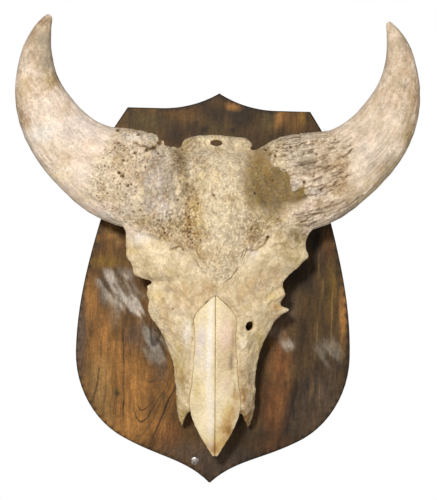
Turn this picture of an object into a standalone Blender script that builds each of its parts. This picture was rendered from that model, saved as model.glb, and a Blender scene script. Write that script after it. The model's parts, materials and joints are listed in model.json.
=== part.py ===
"""Skull cap of a water buffalo, with its bare horn cores, mounted on a wooden shield plaque.

The frame is the plaque's: +Z up, -Y out of the wall towards the viewer, +X to the viewer's right,
and the origin in the middle of the plaque's flat back, on the wall. The animal faces the viewer, so
its own left side is at +X. Depths are measured from the sawn back of the bone, which lies on the
plaque, towards the viewer.
"""

import math

import bmesh
import bpy
import numpy as np
from mathutils import Matrix, Vector

MM = 0.001
GAP = 0.3 * MM  # what touching pieces keep between them

# Plaque: a shield 20 inches high and 14 inches wide, cut from a board
PLAQUE_THICK = 22 * MM
PLAQUE_HALF_HIGH = 254 * MM
PLAQUE_HALF_WIDE = 178.5 * MM
PLAQUE_EDGE = 1.8 * MM
SHOULDER_Z = 233 * MM
SHOULDER_X = 119 * MM
PEAK_SWEEP_X = 75 * MM
EAR = (140 * MM, 200 * MM)
WAIST = (151 * MM, 84 * MM)
BELLY_Z = -86 * MM
KNEE = (112 * MM, -198 * MM)

# Horn cores: one curve that tightens towards the tip, by the distance along it
HORN_LONG = 287 * MM
HORN_ENDS = {1: 285 * MM, -1: 282.5 * MM}  # where each side's point is worn off
HORN_ROOT = (97 * MM, 136 * MM)
HORN_SUNK = 66 * MM
HORN_HALF_BROAD = (
    (-66, 38.0), (-30, 54.0), (0, 61.9), (41, 58.7), (82, 48.8), (123, 42.1), (165, 35.5),
    (206, 25.4), (247, 15.6), (270, 8.8), (287, 2.4),
)  # fmt: skip
HORN_HEADING = 10.4
HORN_TURN = (0.257 / MM, 6.75e-4 / MM**2, -7.25e-7 / MM**3)
HORN_AXIS_Y = -66 * MM
HORN_BOW = 9 * MM
HORN_TIP_FORWARD = 10 * MM
HORN_FLAT_ROOT = 0.63
HORN_FLAT_TIP = 0.92
HORN_SIDES = 20
HORN_RINGS = 26

# Skull cap, each size by its height on the plaque
BACK_Y = -(PLAQUE_THICK + GAP)
POLL_Z = 178 * MM
SKULL_X = -2.2 * MM  # the skull hangs this far off the plaque's middle
SKULL_LEAN = math.tan(math.radians(1.2))  # its face leans this much from upright
LEFT_HALF_WIDE = (
    (-181, 42.6), (-176, 44.6), (-170, 47.5), (-158, 50.5), (-141, 51.9), (-104, 52.9),
    (-84, 56.5), (-67, 62.5), (-52, 70.0), (-40, 76.0), (-31, 85.0), (-24, 95.2), (-19.5, 84.0),
    (-16, 82.8), (-6, 89.1), (3, 87.0), (9, 86.2), (20, 93.6), (30, 105.0), (38, 113.0),
    (45, 119.2), (53, 115.6), (64, 115.5), (74, 119.0), (84, 124.4), (104, 121.0), (130, 107.0),
    (152, 92.0), (168, 76.0), (178, 60.0),
)  # fmt: skip
RIGHT_HALF_WIDE = (
    (-181, 43.6), (-176, 45.4), (-170, 47.2), (-158, 49.6), (-141, 50.3), (-116, 51.8),
    (-100, 53.6), (-84, 58.0), (-69, 64.6), (-58, 69.4), (-52, 72.6), (-46, 76.0), (-38, 83.4),
    (-31, 86.6), (-24, 86.5), (-16, 85.0), (-10, 88.6), (-2, 87.6), (2.5, 88.6), (5, 81.5),
    (8, 79.5), (10, 83.0), (12, 97.0), (24, 104.6), (33, 110.4), (42, 115.6), (48, 114.6),
    (64, 114.4), (74, 114.9), (84, 121.0), (104, 119.0), (130, 106.0), (152, 92.0), (168, 76.0),
    (178, 60.0),
)  # fmt: skip
MIDDLE_DEEP = (
    (-176, 52.0), (-140, 62.0), (-100, 71.0), (-60, 77.0), (-30, 80.0), (0, 84.5), (30, 91.0),
    (60, 96.5), (95, 99.0), (125, 97.0), (150, 90.0), (166, 80.0), (178, 64.0),
)  # fmt: skip
EDGE_DEEP = (
    (-181, 9.0), (-176, 13.0), (-170, 18.0), (-158, 26.0), (-140, 32.0), (-100, 36.0),
    (-68, 38.0), (-44, 41.0), (-26, 46.0), (12, 51.0), (42, 55.0), (64, 57.0), (84, 61.0),
    (120, 66.0), (150, 62.0), (178, 46.0),
)  # fmt: skip
# Eye socket and temple, hollows that the saw cut laid open: middle and half sizes as (x, deep, z)
SOCKET = ((101 * MM, 0, 8 * MM), (55 * MM, 48 * MM, 33 * MM))
TEMPLE = ((112 * MM, 0, 88 * MM), (54 * MM, 46 * MM, 29 * MM))
WALL_DRAW = 4 * MM
BROW_BULGE, BROW_HALF = 10 * MM, 28 * MM
VALLEY, VALLEY_X, VALLEY_HALF, VALLEY_Z = 9 * MM, 68 * MM, 20 * MM, 128 * MM
VALLEY_HALF_HIGH = 50 * MM
CORE_LOW = -181 * MM
CORE_STEP = 7 * MM

# Nasal bones: two long plates that roof the nose and end free in a point
NASAL_TOP, NASAL_TIP = -8 * MM, -215 * MM
NASAL_HALF_WIDE = (
    (-215, 3.0), (-206, 8.6), (-191, 17.6), (-174, 25.4), (-160, 31.0), (-148, 33.0),
    (-138, 32.4), (-124, 30.4), (-104, 28.0), (-62, 26.0), (-32, 25.2), (-20, 14.5), (-8, 1.2),
)  # fmt: skip
NASAL_DROP = 10 * MM
NASAL_TIP_DROP = 13 * MM
NASAL_THICK = 6.5 * MM
NASAL_TIP_THICK = 3.6 * MM
NASAL_TIP_DEEP = 40 * MM
STEP_DOWN = 1.6 * MM

# Nasal cavity, open below, behind the nasals and at the sawn back
CAVITY_HALF_WIDE = (
    (-232, 42.2), (-181, 42.2), (-176, 41.6), (-170, 39.6), (-164, 37.2), (-158.2, 34.4),
    (-157.8, 27.6), (-138, 26.6), (-100, 23.5), (-60, 21.5), (-14, 20.5),
)  # fmt: skip
CAVITY_TOP, CAVITY_OPEN = -14 * MM, -158 * MM

# Hole in the cheek in front of the animal's left eye
FORAMEN = (46.5 * MM, -46 * MM)
FORAMEN_HALF = (5.2 * MM, 7.4 * MM)
FORAMEN_DEEP = 20 * MM

# Sutures, each a run of corners on the animal's left side, in (x, z)
BURR_LINE = (
    (42, 214), (50, 192), (60, 177), (78, 160), (91, 146), (95, 128), (92, 106), (100, 93),
    (114, 83), (126, 77.5), (150, 62),
)  # fmt: skip
BROW_SUTURE = ((112, 6), (90, 9), (76, 3), (66, 6), (54, -5), (44, -3), (33, -17), (6, -30))
CHEEK_SUTURE = ((112, -24), (88, -22), (74, -29), (62, -25), (46, -34), (34, -31), (6, -40))

# Crest of the occipital bone, flush with the forehead: half its width by its height over the
# poll, how deep its back lies, how far its face draws back at the top, and its drilled hole
CREST_HALF = ((46.5, 0), (46, 4), (45, 7.5), (42.5, 11), (37, 14), (28, 15.7), (14, 16.4), (4, 16.5))
CREST_BACK = 40 * MM
CREST_EASE = 6 * MM
CREST_HOLE_Z = 186 * MM
CREST_HOLE_HALF = (8.0 * MM, 4.2 * MM)
CREST_HOLE_DEEP = 80 * MM

# Fixings
STUD_PLACE = (-20 * MM, -225 * MM)
STUD_RADIUS, STUD_HIGH = 5.6 * MM, 1.8 * MM
SCREW_PLACES = ((0, 120 * MM), (-62 * MM, 40 * MM), (62 * MM, 40 * MM))
SCREW_HEAD_RADIUS, SCREW_HEAD_DEEP = 4.6 * MM, 2.8 * MM
SCREW_SHANK_RADIUS, SCREW_LONG = 2.2 * MM, 16 * MM
SCREW_SLOT = (7.4 * MM, 1.1 * MM, 1.2 * MM)
HANGER_Z = 206 * MM
HANGER_WIDE, HANGER_HIGH, HANGER_THICK = 46 * MM, 11 * MM, 1.2 * MM
HANGER_TEETH = 9
HANGER_POCKET = (58 * MM, 18 * MM, 3.2 * MM)
NAIL_RADIUS, NAIL_HEAD_HIGH, NAIL_LONG = 2.6 * MM, 0.9 * MM, 10 * MM

BONE = ("bone", (0.62, 0.52, 0.38), 0.8, 0.0)
NASAL_BONE = ("nasal_bone", (0.74, 0.64, 0.46), 0.62, 0.0)
HORN_BONE = ("horn_core", (0.63, 0.54, 0.43), 0.82, 0.0)
WOOD = ("plaque_wood", (0.13, 0.07, 0.035), 0.55, 0.0)
STEEL = ("fixing_steel", (0.42, 0.41, 0.4), 0.45, 0.9)


def clear_scene():
    """Empties the scene that the script starts in."""
    for obj in list(bpy.data.objects):
        bpy.data.objects.remove(obj, do_unlink=True)


def collection_named(name, hidden=False):
    """A new collection of the scene; the hidden one holds cutters."""
    made = bpy.data.collections.new(name)
    made.hide_render = hidden
    bpy.context.scene.collection.children.link(made)
    return made


def material_of(finish):
    """The material for (name, colour, roughness, metallic), made once."""
    name, colour, roughness, metallic = finish
    made = bpy.data.materials.get(name)
    if made is None:
        made = bpy.data.materials.new(name)
        made.use_nodes = True
        shader = made.node_tree.nodes["Principled BSDF"]
        shader.inputs["Base Color"].default_value = (*colour, 1)
        shader.inputs["Roughness"].default_value = roughness
        shader.inputs["Metallic"].default_value = metallic
    return made


def smooth_step(low, high, value):
    """0 below low, 1 above high, and a smooth rise between them."""
    share = min(1.0, max(0.0, (value - low) / (high - low)))
    return share * share * (3 - 2 * share)


def bell(value, centre, half):
    """1 at the centre and near 0 past twice the half width."""
    return math.exp(-(((value - centre) / half) ** 2))


def along(stations):
    """A smooth function of height through (height, size) stations in millimetres."""
    heights = np.array([height for height, _ in stations]) * MM
    sizes = np.array([size for _, size in stations]) * MM
    rises = np.diff(sizes) / np.diff(heights)
    slopes = np.concatenate([rises[:1], (rises[:-1] + rises[1:]) / 2, rises[-1:]])
    turns = np.flatnonzero(rises[:-1] * rises[1:] <= 0) + 1
    slopes[turns] = 0

    def size_at(height):
        height = min(heights[-1], max(heights[0], height))
        i = min(len(heights) - 2, int(np.searchsorted(heights, height, side="right")) - 1)
        run = heights[i + 1] - heights[i]
        t = (height - heights[i]) / run
        start = (1 + 2 * t) * (1 - t) ** 2 * sizes[i] + t * (1 - t) ** 2 * run * slopes[i]
        end = t * t * (3 - 2 * t) * sizes[i + 1] - t * t * (1 - t) * run * slopes[i + 1]
        return float(start + end)

    return size_at


half_wides = {1: along(LEFT_HALF_WIDE), -1: along(RIGHT_HALF_WIDE)}
horn_half_broad = along(HORN_HALF_BROAD)
middle_deep = along(MIDDLE_DEEP)
edge_deep = along(EDGE_DEEP)
nasal_half_wide = along(NASAL_HALF_WIDE)
cavity_half_wide = along(CAVITY_HALF_WIDE)


def lean_x(z):
    """Where the skull's middle line lies at this height."""
    return SKULL_X + SKULL_LEAN * (POLL_Z - z)


def on_skull(x, deep, z):
    """A point by its distance from the skull's middle line, its depth and its height."""
    return Vector((lean_x(z) + x, BACK_Y - deep, z))


def new_object(name, mesh, collection):
    """An object for the mesh, in the collection."""
    obj = bpy.data.objects.new(name, mesh)
    collection.objects.link(obj)
    if collection.hide_render:
        obj.hide_render = True
        obj.display_type = "WIRE"
    return obj


def loft(name, rings, collection):
    """A closed solid through rings of equally many points, with flat ends."""
    mesh = bmesh.new()
    rows = [[mesh.verts.new(point) for point in ring] for ring in rings]
    for low, high in zip(rows, rows[1:]):
        for i, corner in enumerate(low):
            after = (i + 1) % len(low)
            mesh.faces.new((corner, low[after], high[after], high[i]))
    mesh.faces.new(rows[0][::-1])
    mesh.faces.new(rows[-1])
    bmesh.ops.remove_doubles(mesh, verts=mesh.verts, dist=1e-6)
    bmesh.ops.triangulate(mesh, faces=mesh.faces)
    bmesh.ops.recalc_face_normals(mesh, faces=mesh.faces)
    data = bpy.data.meshes.new(name)
    mesh.to_mesh(data)
    mesh.free()
    return new_object(name, data, collection)


def plate(name, outline, front, thick, collection):
    """A flat piece with an outline in (x, z), from the front depth in y and as thick as said."""
    curve = bpy.data.curves.new(name, "CURVE")
    curve.dimensions = "2D"
    curve.fill_mode = "BOTH"
    curve.extrude = thick / 2
    spline = curve.splines.new("POLY")
    spline.points.add(len(outline) - 1)
    for point, (x, z) in zip(spline.points, outline):
        point.co = (x, z, 0, 1)
    spline.use_cyclic_u = True
    obj = new_object(name, curve, collection)
    obj.rotation_euler = (math.pi / 2, 0, 0)
    obj.location = (0, front + thick / 2, 0)
    return meshed(obj, collection)


def meshed(curve_object, collection):
    """The curve object as a mesh with welded caps, in its place in the world."""
    bpy.context.view_layer.update()
    graph = bpy.context.evaluated_depsgraph_get()
    data = bpy.data.meshes.new_from_object(curve_object.evaluated_get(graph))
    data.transform(curve_object.matrix_world)
    name = curve_object.name
    bpy.data.objects.remove(curve_object)
    mesh = bmesh.new()
    mesh.from_mesh(data)
    bmesh.ops.remove_doubles(mesh, verts=mesh.verts, dist=1e-6)
    bmesh.ops.recalc_face_normals(mesh, faces=mesh.faces)
    mesh.to_mesh(data)
    mesh.free()
    data.materials.clear()
    return new_object(name, data, collection)


def turned(name, profile, place, collection, sides=24):
    """A solid turned about the y axis at (x, z), from a profile of (radius, y) points."""
    mesh = bmesh.new()
    points = [mesh.verts.new((radius, y, 0)) for radius, y in profile]
    edges = [mesh.edges.new(pair) for pair in zip(points, points[1:])]
    bmesh.ops.spin(
        mesh, geom=points + edges, cent=(0, 0, 0), axis=(0, 1, 0), angle=math.tau, steps=sides
    )
    bmesh.ops.remove_doubles(mesh, verts=mesh.verts, dist=1e-6)
    bmesh.ops.recalc_face_normals(mesh, faces=mesh.faces)
    data = bpy.data.meshes.new(name)
    mesh.to_mesh(data)
    mesh.free()
    data.transform(Matrix.Translation((place[0], 0, place[1])))
    return new_object(name, data, collection)


def combine(obj, others, operation):
    """Joins the others to the object, or cuts them from it, and removes them."""
    for other in others:
        modifier = obj.modifiers.new(operation, "BOOLEAN")
        modifier.operation = operation
        modifier.solver = "EXACT"
        modifier.object = other
    bpy.context.view_layer.update()
    graph = bpy.context.evaluated_depsgraph_get()
    data = bpy.data.meshes.new_from_object(obj.evaluated_get(graph))
    obj.modifiers.clear()
    obj.data = data
    for other in others:
        bpy.data.objects.remove(other)
    return obj


def islands(obj):
    """The object's separate closed surfaces, as meshes, the largest first."""
    whole = bmesh.new()
    whole.from_mesh(obj.data)
    left, found = set(whole.verts), []
    while left:
        group, edge = set(), [left.pop()]
        while edge:
            vert = edge.pop()
            group.add(vert)
            near = {link.other_vert(vert) for link in vert.link_edges} & left
            left -= near
            edge.extend(near)
        part = bmesh.new()
        copies = {vert: part.verts.new(vert.co) for vert in group}
        for face in {face for vert in group for face in vert.link_faces}:
            part.faces.new([copies[vert] for vert in face.verts])
        data = bpy.data.meshes.new(obj.name)
        part.to_mesh(data)
        part.free()
        found.append(data)
    whole.free()
    return sorted(found, key=lambda data: -len(data.vertices))


def finish(obj, finish_kind, smooth=35):
    """Gives the object its material and its smooth shading."""
    obj.data.materials.clear()
    obj.data.materials.append(material_of(finish_kind))
    obj.data.shade_smooth()
    obj.data.set_sharp_from_angle(angle=math.radians(smooth))


def arc(centre, radius, start, end, steps):
    """Points on a circle from one angle to another, both in degrees."""
    angles = np.radians(np.linspace(start, end, steps + 1))
    return [(centre[0] + radius * math.cos(a), centre[1] + radius * math.sin(a)) for a in angles]


def bend(start, start_pull, end_pull, end, steps):
    """Points of a cubic Bezier curve, without its first one."""
    pulls = [Vector(point) for point in (start, start_pull, end_pull, end)]
    points = []
    for i in range(1, steps + 1):
        t = i / steps
        shares = ((1 - t) ** 3, 3 * t * (1 - t) ** 2, 3 * t * t * (1 - t), t**3)
        points.append(tuple(sum((s * p for s, p in zip(shares, pulls)), Vector((0, 0)))))
    return points


def plaque_outline():
    """The shield: peak, swept shoulders, ears, belly and the point below."""
    rise = PLAQUE_HALF_HIGH - SHOULDER_Z
    radius = (PEAK_SWEEP_X**2 + rise**2) / (2 * rise)
    reach = math.degrees(math.asin(PEAK_SWEEP_X / radius))
    half = arc((PEAK_SWEEP_X, SHOULDER_Z + radius), radius, -90 - reach, -90, 12)
    half += [(SHOULDER_X, SHOULDER_Z), EAR]
    half += bend(EAR, (EAR[0] - 14 * MM, 168 * MM), (WAIST[0] - 14 * MM, 130 * MM), WAIST, 10)
    belly = (PLAQUE_HALF_WIDE, BELLY_Z)
    half += bend(WAIST, (168 * MM, 22 * MM), (belly[0], -30 * MM), belly, 12)
    half += bend(belly, (belly[0], -135 * MM), (151 * MM, -179 * MM), KNEE, 12)
    tip = (0, -PLAQUE_HALF_HIGH)
    half += bend(KNEE, (66 * MM, -222 * MM), (30 * MM, -224 * MM), tip, 12)
    return half + [(-x, z) for x, z in half[-2:0:-1]]


def make_plaque(collection, cutters):
    """The board, with its edges eased and pockets for the hanger and the screws."""
    board = plate("plaque", plaque_outline(), -PLAQUE_THICK, PLAQUE_THICK, collection)
    eased = board.modifiers.new("eased_edges", "BEVEL")
    eased.width = PLAQUE_EDGE
    eased.segments = 2
    eased.limit_method = "ANGLE"
    eased.angle_limit = math.radians(60)
    combine(board, [], "DIFFERENCE")
    wide, high, deep = HANGER_POCKET
    pocket = [
        (x * wide / 2, HANGER_Z + z * high / 2) for x, z in ((-1, -1), (1, -1), (1, 1), (-1, 1))
    ]
    cuts = [plate("hanger_pocket", pocket, -deep, deep + MM, cutters)]
    for place in SCREW_PLACES:
        cuts.append(screw_body("screw_hole", place, GAP, cutters))
    for place in nail_places():
        hole = ((0, -deep - NAIL_LONG), (NAIL_RADIUS / 2 + GAP, -deep - NAIL_LONG),
                (NAIL_RADIUS / 2 + GAP, MM), (0, MM))
        cuts.append(turned("nail_hole", hole, place, cutters, 12))
    combine(board, cuts, "DIFFERENCE")
    finish(board, WOOD)


def screw_body(name, place, grow, collection):
    """A countersunk screw's outer shape from the plaque's back, or its hole, grown all round."""
    shank = SCREW_SHANK_RADIUS + grow
    head = SCREW_HEAD_RADIUS + grow
    top = MM if grow else -0.2 * MM
    profile = (
        (0, -SCREW_LONG - grow), (shank, -SCREW_LONG - grow), (shank, -SCREW_HEAD_DEEP - grow),
        (head, -0.4 * MM), (head, top), (0, top),
    )  # fmt: skip
    return turned(name, profile, place, collection)


def nail_places():
    """The two nails of the hanger, near its ends."""
    return [(side * (HANGER_WIDE / 2 - 5 * MM), HANGER_Z) for side in (-1, 1)]


def make_fixings(collection, cutters):
    """Screws that hold the skull from behind, the toothed hanger with its nails, and the stud."""
    for number, place in enumerate(SCREW_PLACES, 1):
        screw = screw_body(f"skull_screw_{number}", place, 0, collection)
        long, wide, deep = SCREW_SLOT
        slot = [(place[0] + x * long / 2, place[1] + z * wide / 2)
                for x, z in ((-1, -1), (1, -1), (1, 1), (-1, 1))]
        combine(screw, [plate("slot", slot, -deep, deep + MM, cutters)], "DIFFERENCE")
        finish(screw, STEEL)
    make_hanger(collection, cutters)
    dome = arc((0, 0), 1.0, 90, 0, 5)
    face = -PLAQUE_THICK - GAP
    profile = [(STUD_RADIUS * x, face - STUD_HIGH * y) for x, y in dome] + [(0, face)]
    finish(turned("plaque_stud", profile, STUD_PLACE, collection), STEEL)


def make_hanger(collection, cutters):
    """A toothed strip in its pocket in the plaque's back, held by two nails."""
    floor = -HANGER_POCKET[2] + GAP
    half, high = HANGER_WIDE / 2, HANGER_HIGH / 2
    teeth_half = half - 9 * MM
    outline = [(half, HANGER_Z - high), (half, HANGER_Z + high)]
    outline += [(-half, HANGER_Z + high), (-half, HANGER_Z - high)]
    step = 2 * teeth_half / HANGER_TEETH
    for tooth in range(HANGER_TEETH):
        start = -teeth_half + tooth * step
        outline += [(start, HANGER_Z - high), (start + step / 2, HANGER_Z - high + 2.2 * MM)]
    outline.append((teeth_half, HANGER_Z - high))
    strip = plate("hanger", outline[::-1], floor, HANGER_THICK, collection)
    holes = []
    for place in nail_places():
        round_hole = ((0, floor - MM), (NAIL_RADIUS / 2 + GAP, floor - MM),
                      (NAIL_RADIUS / 2 + GAP, MM), (0, MM))
        holes.append(turned("nail_hole", round_hole, place, cutters, 12))
    combine(strip, holes, "DIFFERENCE")
    finish(strip, STEEL)
    under = floor + HANGER_THICK + GAP
    for number, place in enumerate(nail_places(), 1):
        profile = (
            (0, floor - NAIL_LONG + MM), (NAIL_RADIUS / 2, floor - NAIL_LONG + 2 * MM),
            (NAIL_RADIUS / 2, under), (NAIL_RADIUS, under),
            (NAIL_RADIUS * 0.7, under + NAIL_HEAD_HIGH), (0, under + NAIL_HEAD_HIGH),
        )  # fmt: skip
        finish(turned(f"hanger_nail_{number}", profile, place, collection, 12), STEEL)


def horn_heading(s):
    """The direction of the horn core's curve, in radians up from level."""
    s = max(0.0, s)
    turn = sum(rate * s**power for power, rate in enumerate(HORN_TURN, 1))
    return math.radians(HORN_HEADING + turn)


def horn_section(place, heading, half_broad, share):
    """One ring of the horn core: an oval, flatter in front, with a keel low on the outside."""
    flat = HORN_FLAT_ROOT + (HORN_FLAT_TIP - HORN_FLAT_ROOT) * share**1.5
    inward = Vector((-math.sin(heading), 0, math.cos(heading)))
    forward = Vector((0, -1, 0))
    ring = []
    for i in range(HORN_SIDES):
        angle = math.tau * i / HORN_SIDES
        c, s = math.cos(angle), math.sin(angle)
        keel = 1 + 0.06 * bell(math.degrees(angle), 138, 22) * (1 - share)
        across = half_broad * math.copysign(abs(c) ** 0.9, c)
        out = half_broad * flat * math.copysign(abs(s) ** 0.86, s)
        ring.append(place + (inward * across + forward * out) * keel)
    return ring


def make_horn(name, side, collection):
    """A horn core that starts inside the skull and runs out, up and in to its point."""
    body = np.linspace(-HORN_SUNK, 0.82 * HORN_LONG, HORN_RINGS - 6)
    stations = [*body, *np.linspace(0.82 * HORN_LONG, HORN_ENDS[side], 8)[1:]]
    heading = horn_heading(0)
    x = HORN_ROOT[0] - math.cos(heading) * HORN_SUNK
    z = HORN_ROOT[1] - math.sin(heading) * HORN_SUNK
    rings, before = [], stations[0]
    for s in stations:
        heading = horn_heading((before + s) / 2)
        x += math.cos(heading) * (s - before)
        z += math.sin(heading) * (s - before)
        before = s
        share = max(0.0, s / HORN_LONG)
        y = HORN_AXIS_Y + HORN_BOW * math.sin(math.pi * share) - HORN_TIP_FORWARD * share**2
        place = Vector((x, y, z))
        rings.append(horn_section(place, horn_heading(s), horn_half_broad(s), share))
    return loft(name, [[Vector((SKULL_X + side * p.x, p.y, p.z)) for p in ring] for ring in rings],
                collection)


def nasal_share(z):
    """1 where the nasal bones roof the face, 0 on the forehead."""
    return 1 - smooth_step(-34 * MM, 8 * MM, z)


def split_x(z):
    """The nasal bones' margin, carried on over the forehead as a guide for the mesh."""
    margin = nasal_half_wide(min(z, -32 * MM))
    return margin + (34 * MM - margin) * smooth_step(-32 * MM, 60 * MM, z)


def nasal_deep(x, z):
    """Depth of the nasal roof's outer face, out to its margin."""
    low = min(1.0, max(0.0, (-150 * MM - z) / (-150 * MM - NASAL_TIP)))
    middle = middle_deep(max(z, -176 * MM))
    if z < -140 * MM:
        t = (-140 * MM - z) / (-140 * MM - NASAL_TIP)
        middle = 62 * MM + (NASAL_TIP_DEEP - 62 * MM) * t**1.15
    drop = NASAL_DROP + (NASAL_TIP_DROP - NASAL_DROP) * low
    share = min(1.0, abs(x) / (33 * MM))
    return middle - drop * share**2.1


def face_deep(x, z, side):
    """Depth of the skull's outer face at a distance from its middle line, on one side of it."""
    wide, edge = half_wides[side](z), edge_deep(z)
    share = min(1.0, x / wide)
    brow = edge + (middle_deep(z) - BROW_BULGE - edge) * (1 - share**2.6)
    brow += BROW_BULGE * bell(x, 0, BROW_HALF)
    brow -= VALLEY * bell(x, VALLEY_X, VALLEY_HALF) * bell(z, VALLEY_Z, VALLEY_HALF_HIGH)
    nasal = nasal_share(z)
    if nasal == 0:
        return brow
    margin = split_x(z)
    roof = nasal_deep(min(x, margin), z) - STEP_DOWN
    beyond = min(1.0, max(0.0, (x - margin) / (wide - margin)))
    cheek = edge + (roof - edge) * (1 - beyond**1.55)
    return brow + (cheek - brow) * nasal


def core_half(z, side):
    """Half of the skull cap's section: its sawn back, its side wall and its face."""
    wide, edge, margin = half_wides[side](z), edge_deep(z), split_x(z)
    half = [((wide - WALL_DRAW) * 0.5, 0.0), (wide - WALL_DRAW, 0.0)]
    for back in (0.7, 0.35, 0.12):
        half.append((wide - WALL_DRAW * smooth_step(0, 0.35, back), edge * (1 - back)))
    half.append((wide, edge))
    for share in (0.93, 0.84, 0.73, 0.61, 0.48, 0.34, 0.2, 0.08):
        x = margin + (wide - margin) * share
        half.append((x, face_deep(x, z, side)))
    for share in (0.96, 0.7, 0.4):
        x = margin * share
        half.append((x, face_deep(x, z, side)))
    return [(side * x, deep) for x, deep in half]


def core_ring(z):
    """The skull cap's section at one height, from the middle of its back round and back."""
    points = [(0.0, 0.0), *core_half(z, 1), (0.0, face_deep(0.0, z, 1)), *core_half(z, -1)[::-1]]
    return [on_skull(x, deep, z) for x, deep in points]


def core_heights():
    """Heights of the sections: even ones, and those where either outline turns."""
    turns = {z * MM for table in half_wide_tables() for z, _ in table if -40 < z < 60}
    even = np.linspace(CORE_LOW, POLL_Z, round((POLL_Z - CORE_LOW) / CORE_STEP) + 1)
    apart = [z for z in even if min(abs(z - turn) for turn in turns) > 0.5 * CORE_STEP]
    heights = sorted({*apart, *turns, -178 * MM, 174.5 * MM})
    return [z for i, z in enumerate(heights) if i == 0 or z - heights[i - 1] > 1.5 * MM]


def half_wide_tables():
    """The outline tables of the two sides."""
    return LEFT_HALF_WIDE, RIGHT_HALF_WIDE


def hollow(name, side, middle, half, collection):
    """An egg-shaped cutter, its middle and half sizes given as (x, deep, z)."""
    mesh = bmesh.new()
    bmesh.ops.create_uvsphere(mesh, u_segments=28, v_segments=14, radius=1)
    data = bpy.data.meshes.new(name)
    mesh.to_mesh(data)
    mesh.free()
    centre = on_skull(side * middle[0], middle[1], middle[2])
    data.transform(Matrix.Translation(centre) @ Matrix.Diagonal((*half, 1)))
    return new_object(name, data, collection)


def nasal_ring(side, z, grow):
    """One section of a nasal bone: a bowed plate from the middle suture to its margin."""
    wide = nasal_half_wide(z)
    thick = NASAL_THICK + (NASAL_TIP_THICK - NASAL_THICK) * min(
        1.0, max(0.0, (-150 * MM - z) / (-150 * MM - NASAL_TIP))
    )
    inner = -grow if grow else GAP / 2
    columns = [inner + (wide + grow - inner) * share for share in (0, 0.22, 0.45, 0.66, 0.84, 1)]
    ring = [(x, nasal_deep(x, z) + grow + (20 * MM if grow else 0)) for x in columns]
    for share, x in zip((1, 0.84, 0.66, 0.45, 0.22, 0), columns[::-1]):
        ring.append((x, nasal_deep(x, z) - thick * (1 - 0.3 * share**3) - grow))
    return [on_skull(side * x, deep, z) for x, deep in ring]


def nasal_heights():
    """Heights of the nasal bones' sections, closer where they taper."""
    body = np.linspace(-200 * MM, -32 * MM, 22)
    return [NASAL_TIP, -206 * MM, *body, -26 * MM, -20 * MM, -14 * MM, NASAL_TOP]


def make_nasal(name, side, collection, grow=0.0):
    """One nasal bone, or with a growth the bed that it lies in, open in front."""
    heights = nasal_heights()
    heights[0] -= grow
    heights[-1] += grow
    return loft(name, [nasal_ring(side, z, grow) for z in heights], collection)


def cavity_ring(z):
    """The nasal cavity's section: an arch under the nasal roof, past the sawn back."""
    wide = cavity_half_wide(z)
    height = nasal_deep(0, max(z, NASAL_TIP)) - NASAL_THICK + 2 * MM
    if z < CAVITY_OPEN:
        height = 75 * MM
    half = [(0.0, height), (wide * 0.55, height - 0.5 * MM), (wide * 0.9, height * 0.86),
            (wide, height * 0.62), (wide, height * 0.25), (wide, -8 * MM), (0.0, -8 * MM)]
    round_trip = half + [(-x, deep) for x, deep in half[-2:0:-1]]
    return [on_skull(x, deep, z) for x, deep in round_trip]


def make_cavity(collection):
    """The cutter for the nasal cavity and the gaps beside the free ends of the nasals."""
    heights = [-232, -200, -181, -176, -170, -164, -158.2, -157.8, -148, -138, -125, -110]
    heights += [-90, -70, -50, -32, CAVITY_TOP / MM]
    return loft("cavity", [cavity_ring(z * MM) for z in heights], collection)


def kerf(name, corners, side, collection):
    """A thin cutter that stands through the skull along a suture's corners."""
    points = [on_skull(side * x * MM, 0, z * MM) for x, z in corners]
    front, back = Vector((0, -150 * MM, 0)), Vector((0, 5 * MM, 0))
    rings = []
    for i, point in enumerate(points):
        run = points[min(len(points) - 1, i + 1)] - points[max(0, i - 1)]
        across = Vector((-run.z, 0, run.x)).normalized() * (GAP / 2)
        near, far = point + across, point - across
        rings.append([near + front, far + front, far + back, near + back])
    return loft(name, rings, collection)


def make_foramen(collection):
    """The cutter for the hole in the cheek, an oval drilled in towards the middle."""
    x, z = FORAMEN
    deep = face_deep(x, z, 1)
    rings = []
    for into, shrink in ((-12 * MM, 1.25), (0, 1.0), (FORAMEN_DEEP, 0.6)):
        centre = (x - into * 0.25, z + into * 0.3)
        rings.append([
            on_skull(
                centre[0] + FORAMEN_HALF[0] * shrink * math.cos(math.tau * i / 12),
                deep - into,
                centre[1] + FORAMEN_HALF[1] * shrink * math.sin(math.tau * i / 12),
            )
            for i in range(12)
        ])
    return loft("foramen", rings, collection)


def crest_ring(half_wide, high):
    """One level section of the crest: its face follows the forehead's upper edge."""
    foot, _ = CREST_HALF[0]
    drawn_back = CREST_EASE * (high / (CREST_HALF[-1][1] * MM)) ** 3
    shares = np.linspace(-1, 1, 17)
    face = [(half_wide * share, face_deep(abs(share) * foot * MM, POLL_Z, 1) - drawn_back)
            for share in shares]
    back = [(half_wide * share, CREST_BACK) for share in shares[::-1]]
    return [on_skull(x, deep, POLL_Z + GAP + high) for x, deep in face + back]


def make_crest(collection, cutters):
    """The occipital crest: a low arched ridge on top of the poll, with its drilled hole."""
    rings = [crest_ring(half_wide * MM, high * MM) for half_wide, high in CREST_HALF]
    crest = loft("occipital_crest", rings, collection)
    wide, high = CREST_HOLE_HALF
    hole = [(lean_x(POLL_Z) + wide * math.cos(a), CREST_HOLE_Z + high * math.sin(a))
            for a in np.linspace(0, math.tau, 19)[:-1]]
    front = BACK_Y - CREST_HOLE_DEEP
    combine(crest, [plate("hole", hole, front, CREST_HOLE_DEEP, cutters)], "DIFFERENCE")
    finish(crest, BONE)


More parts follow.
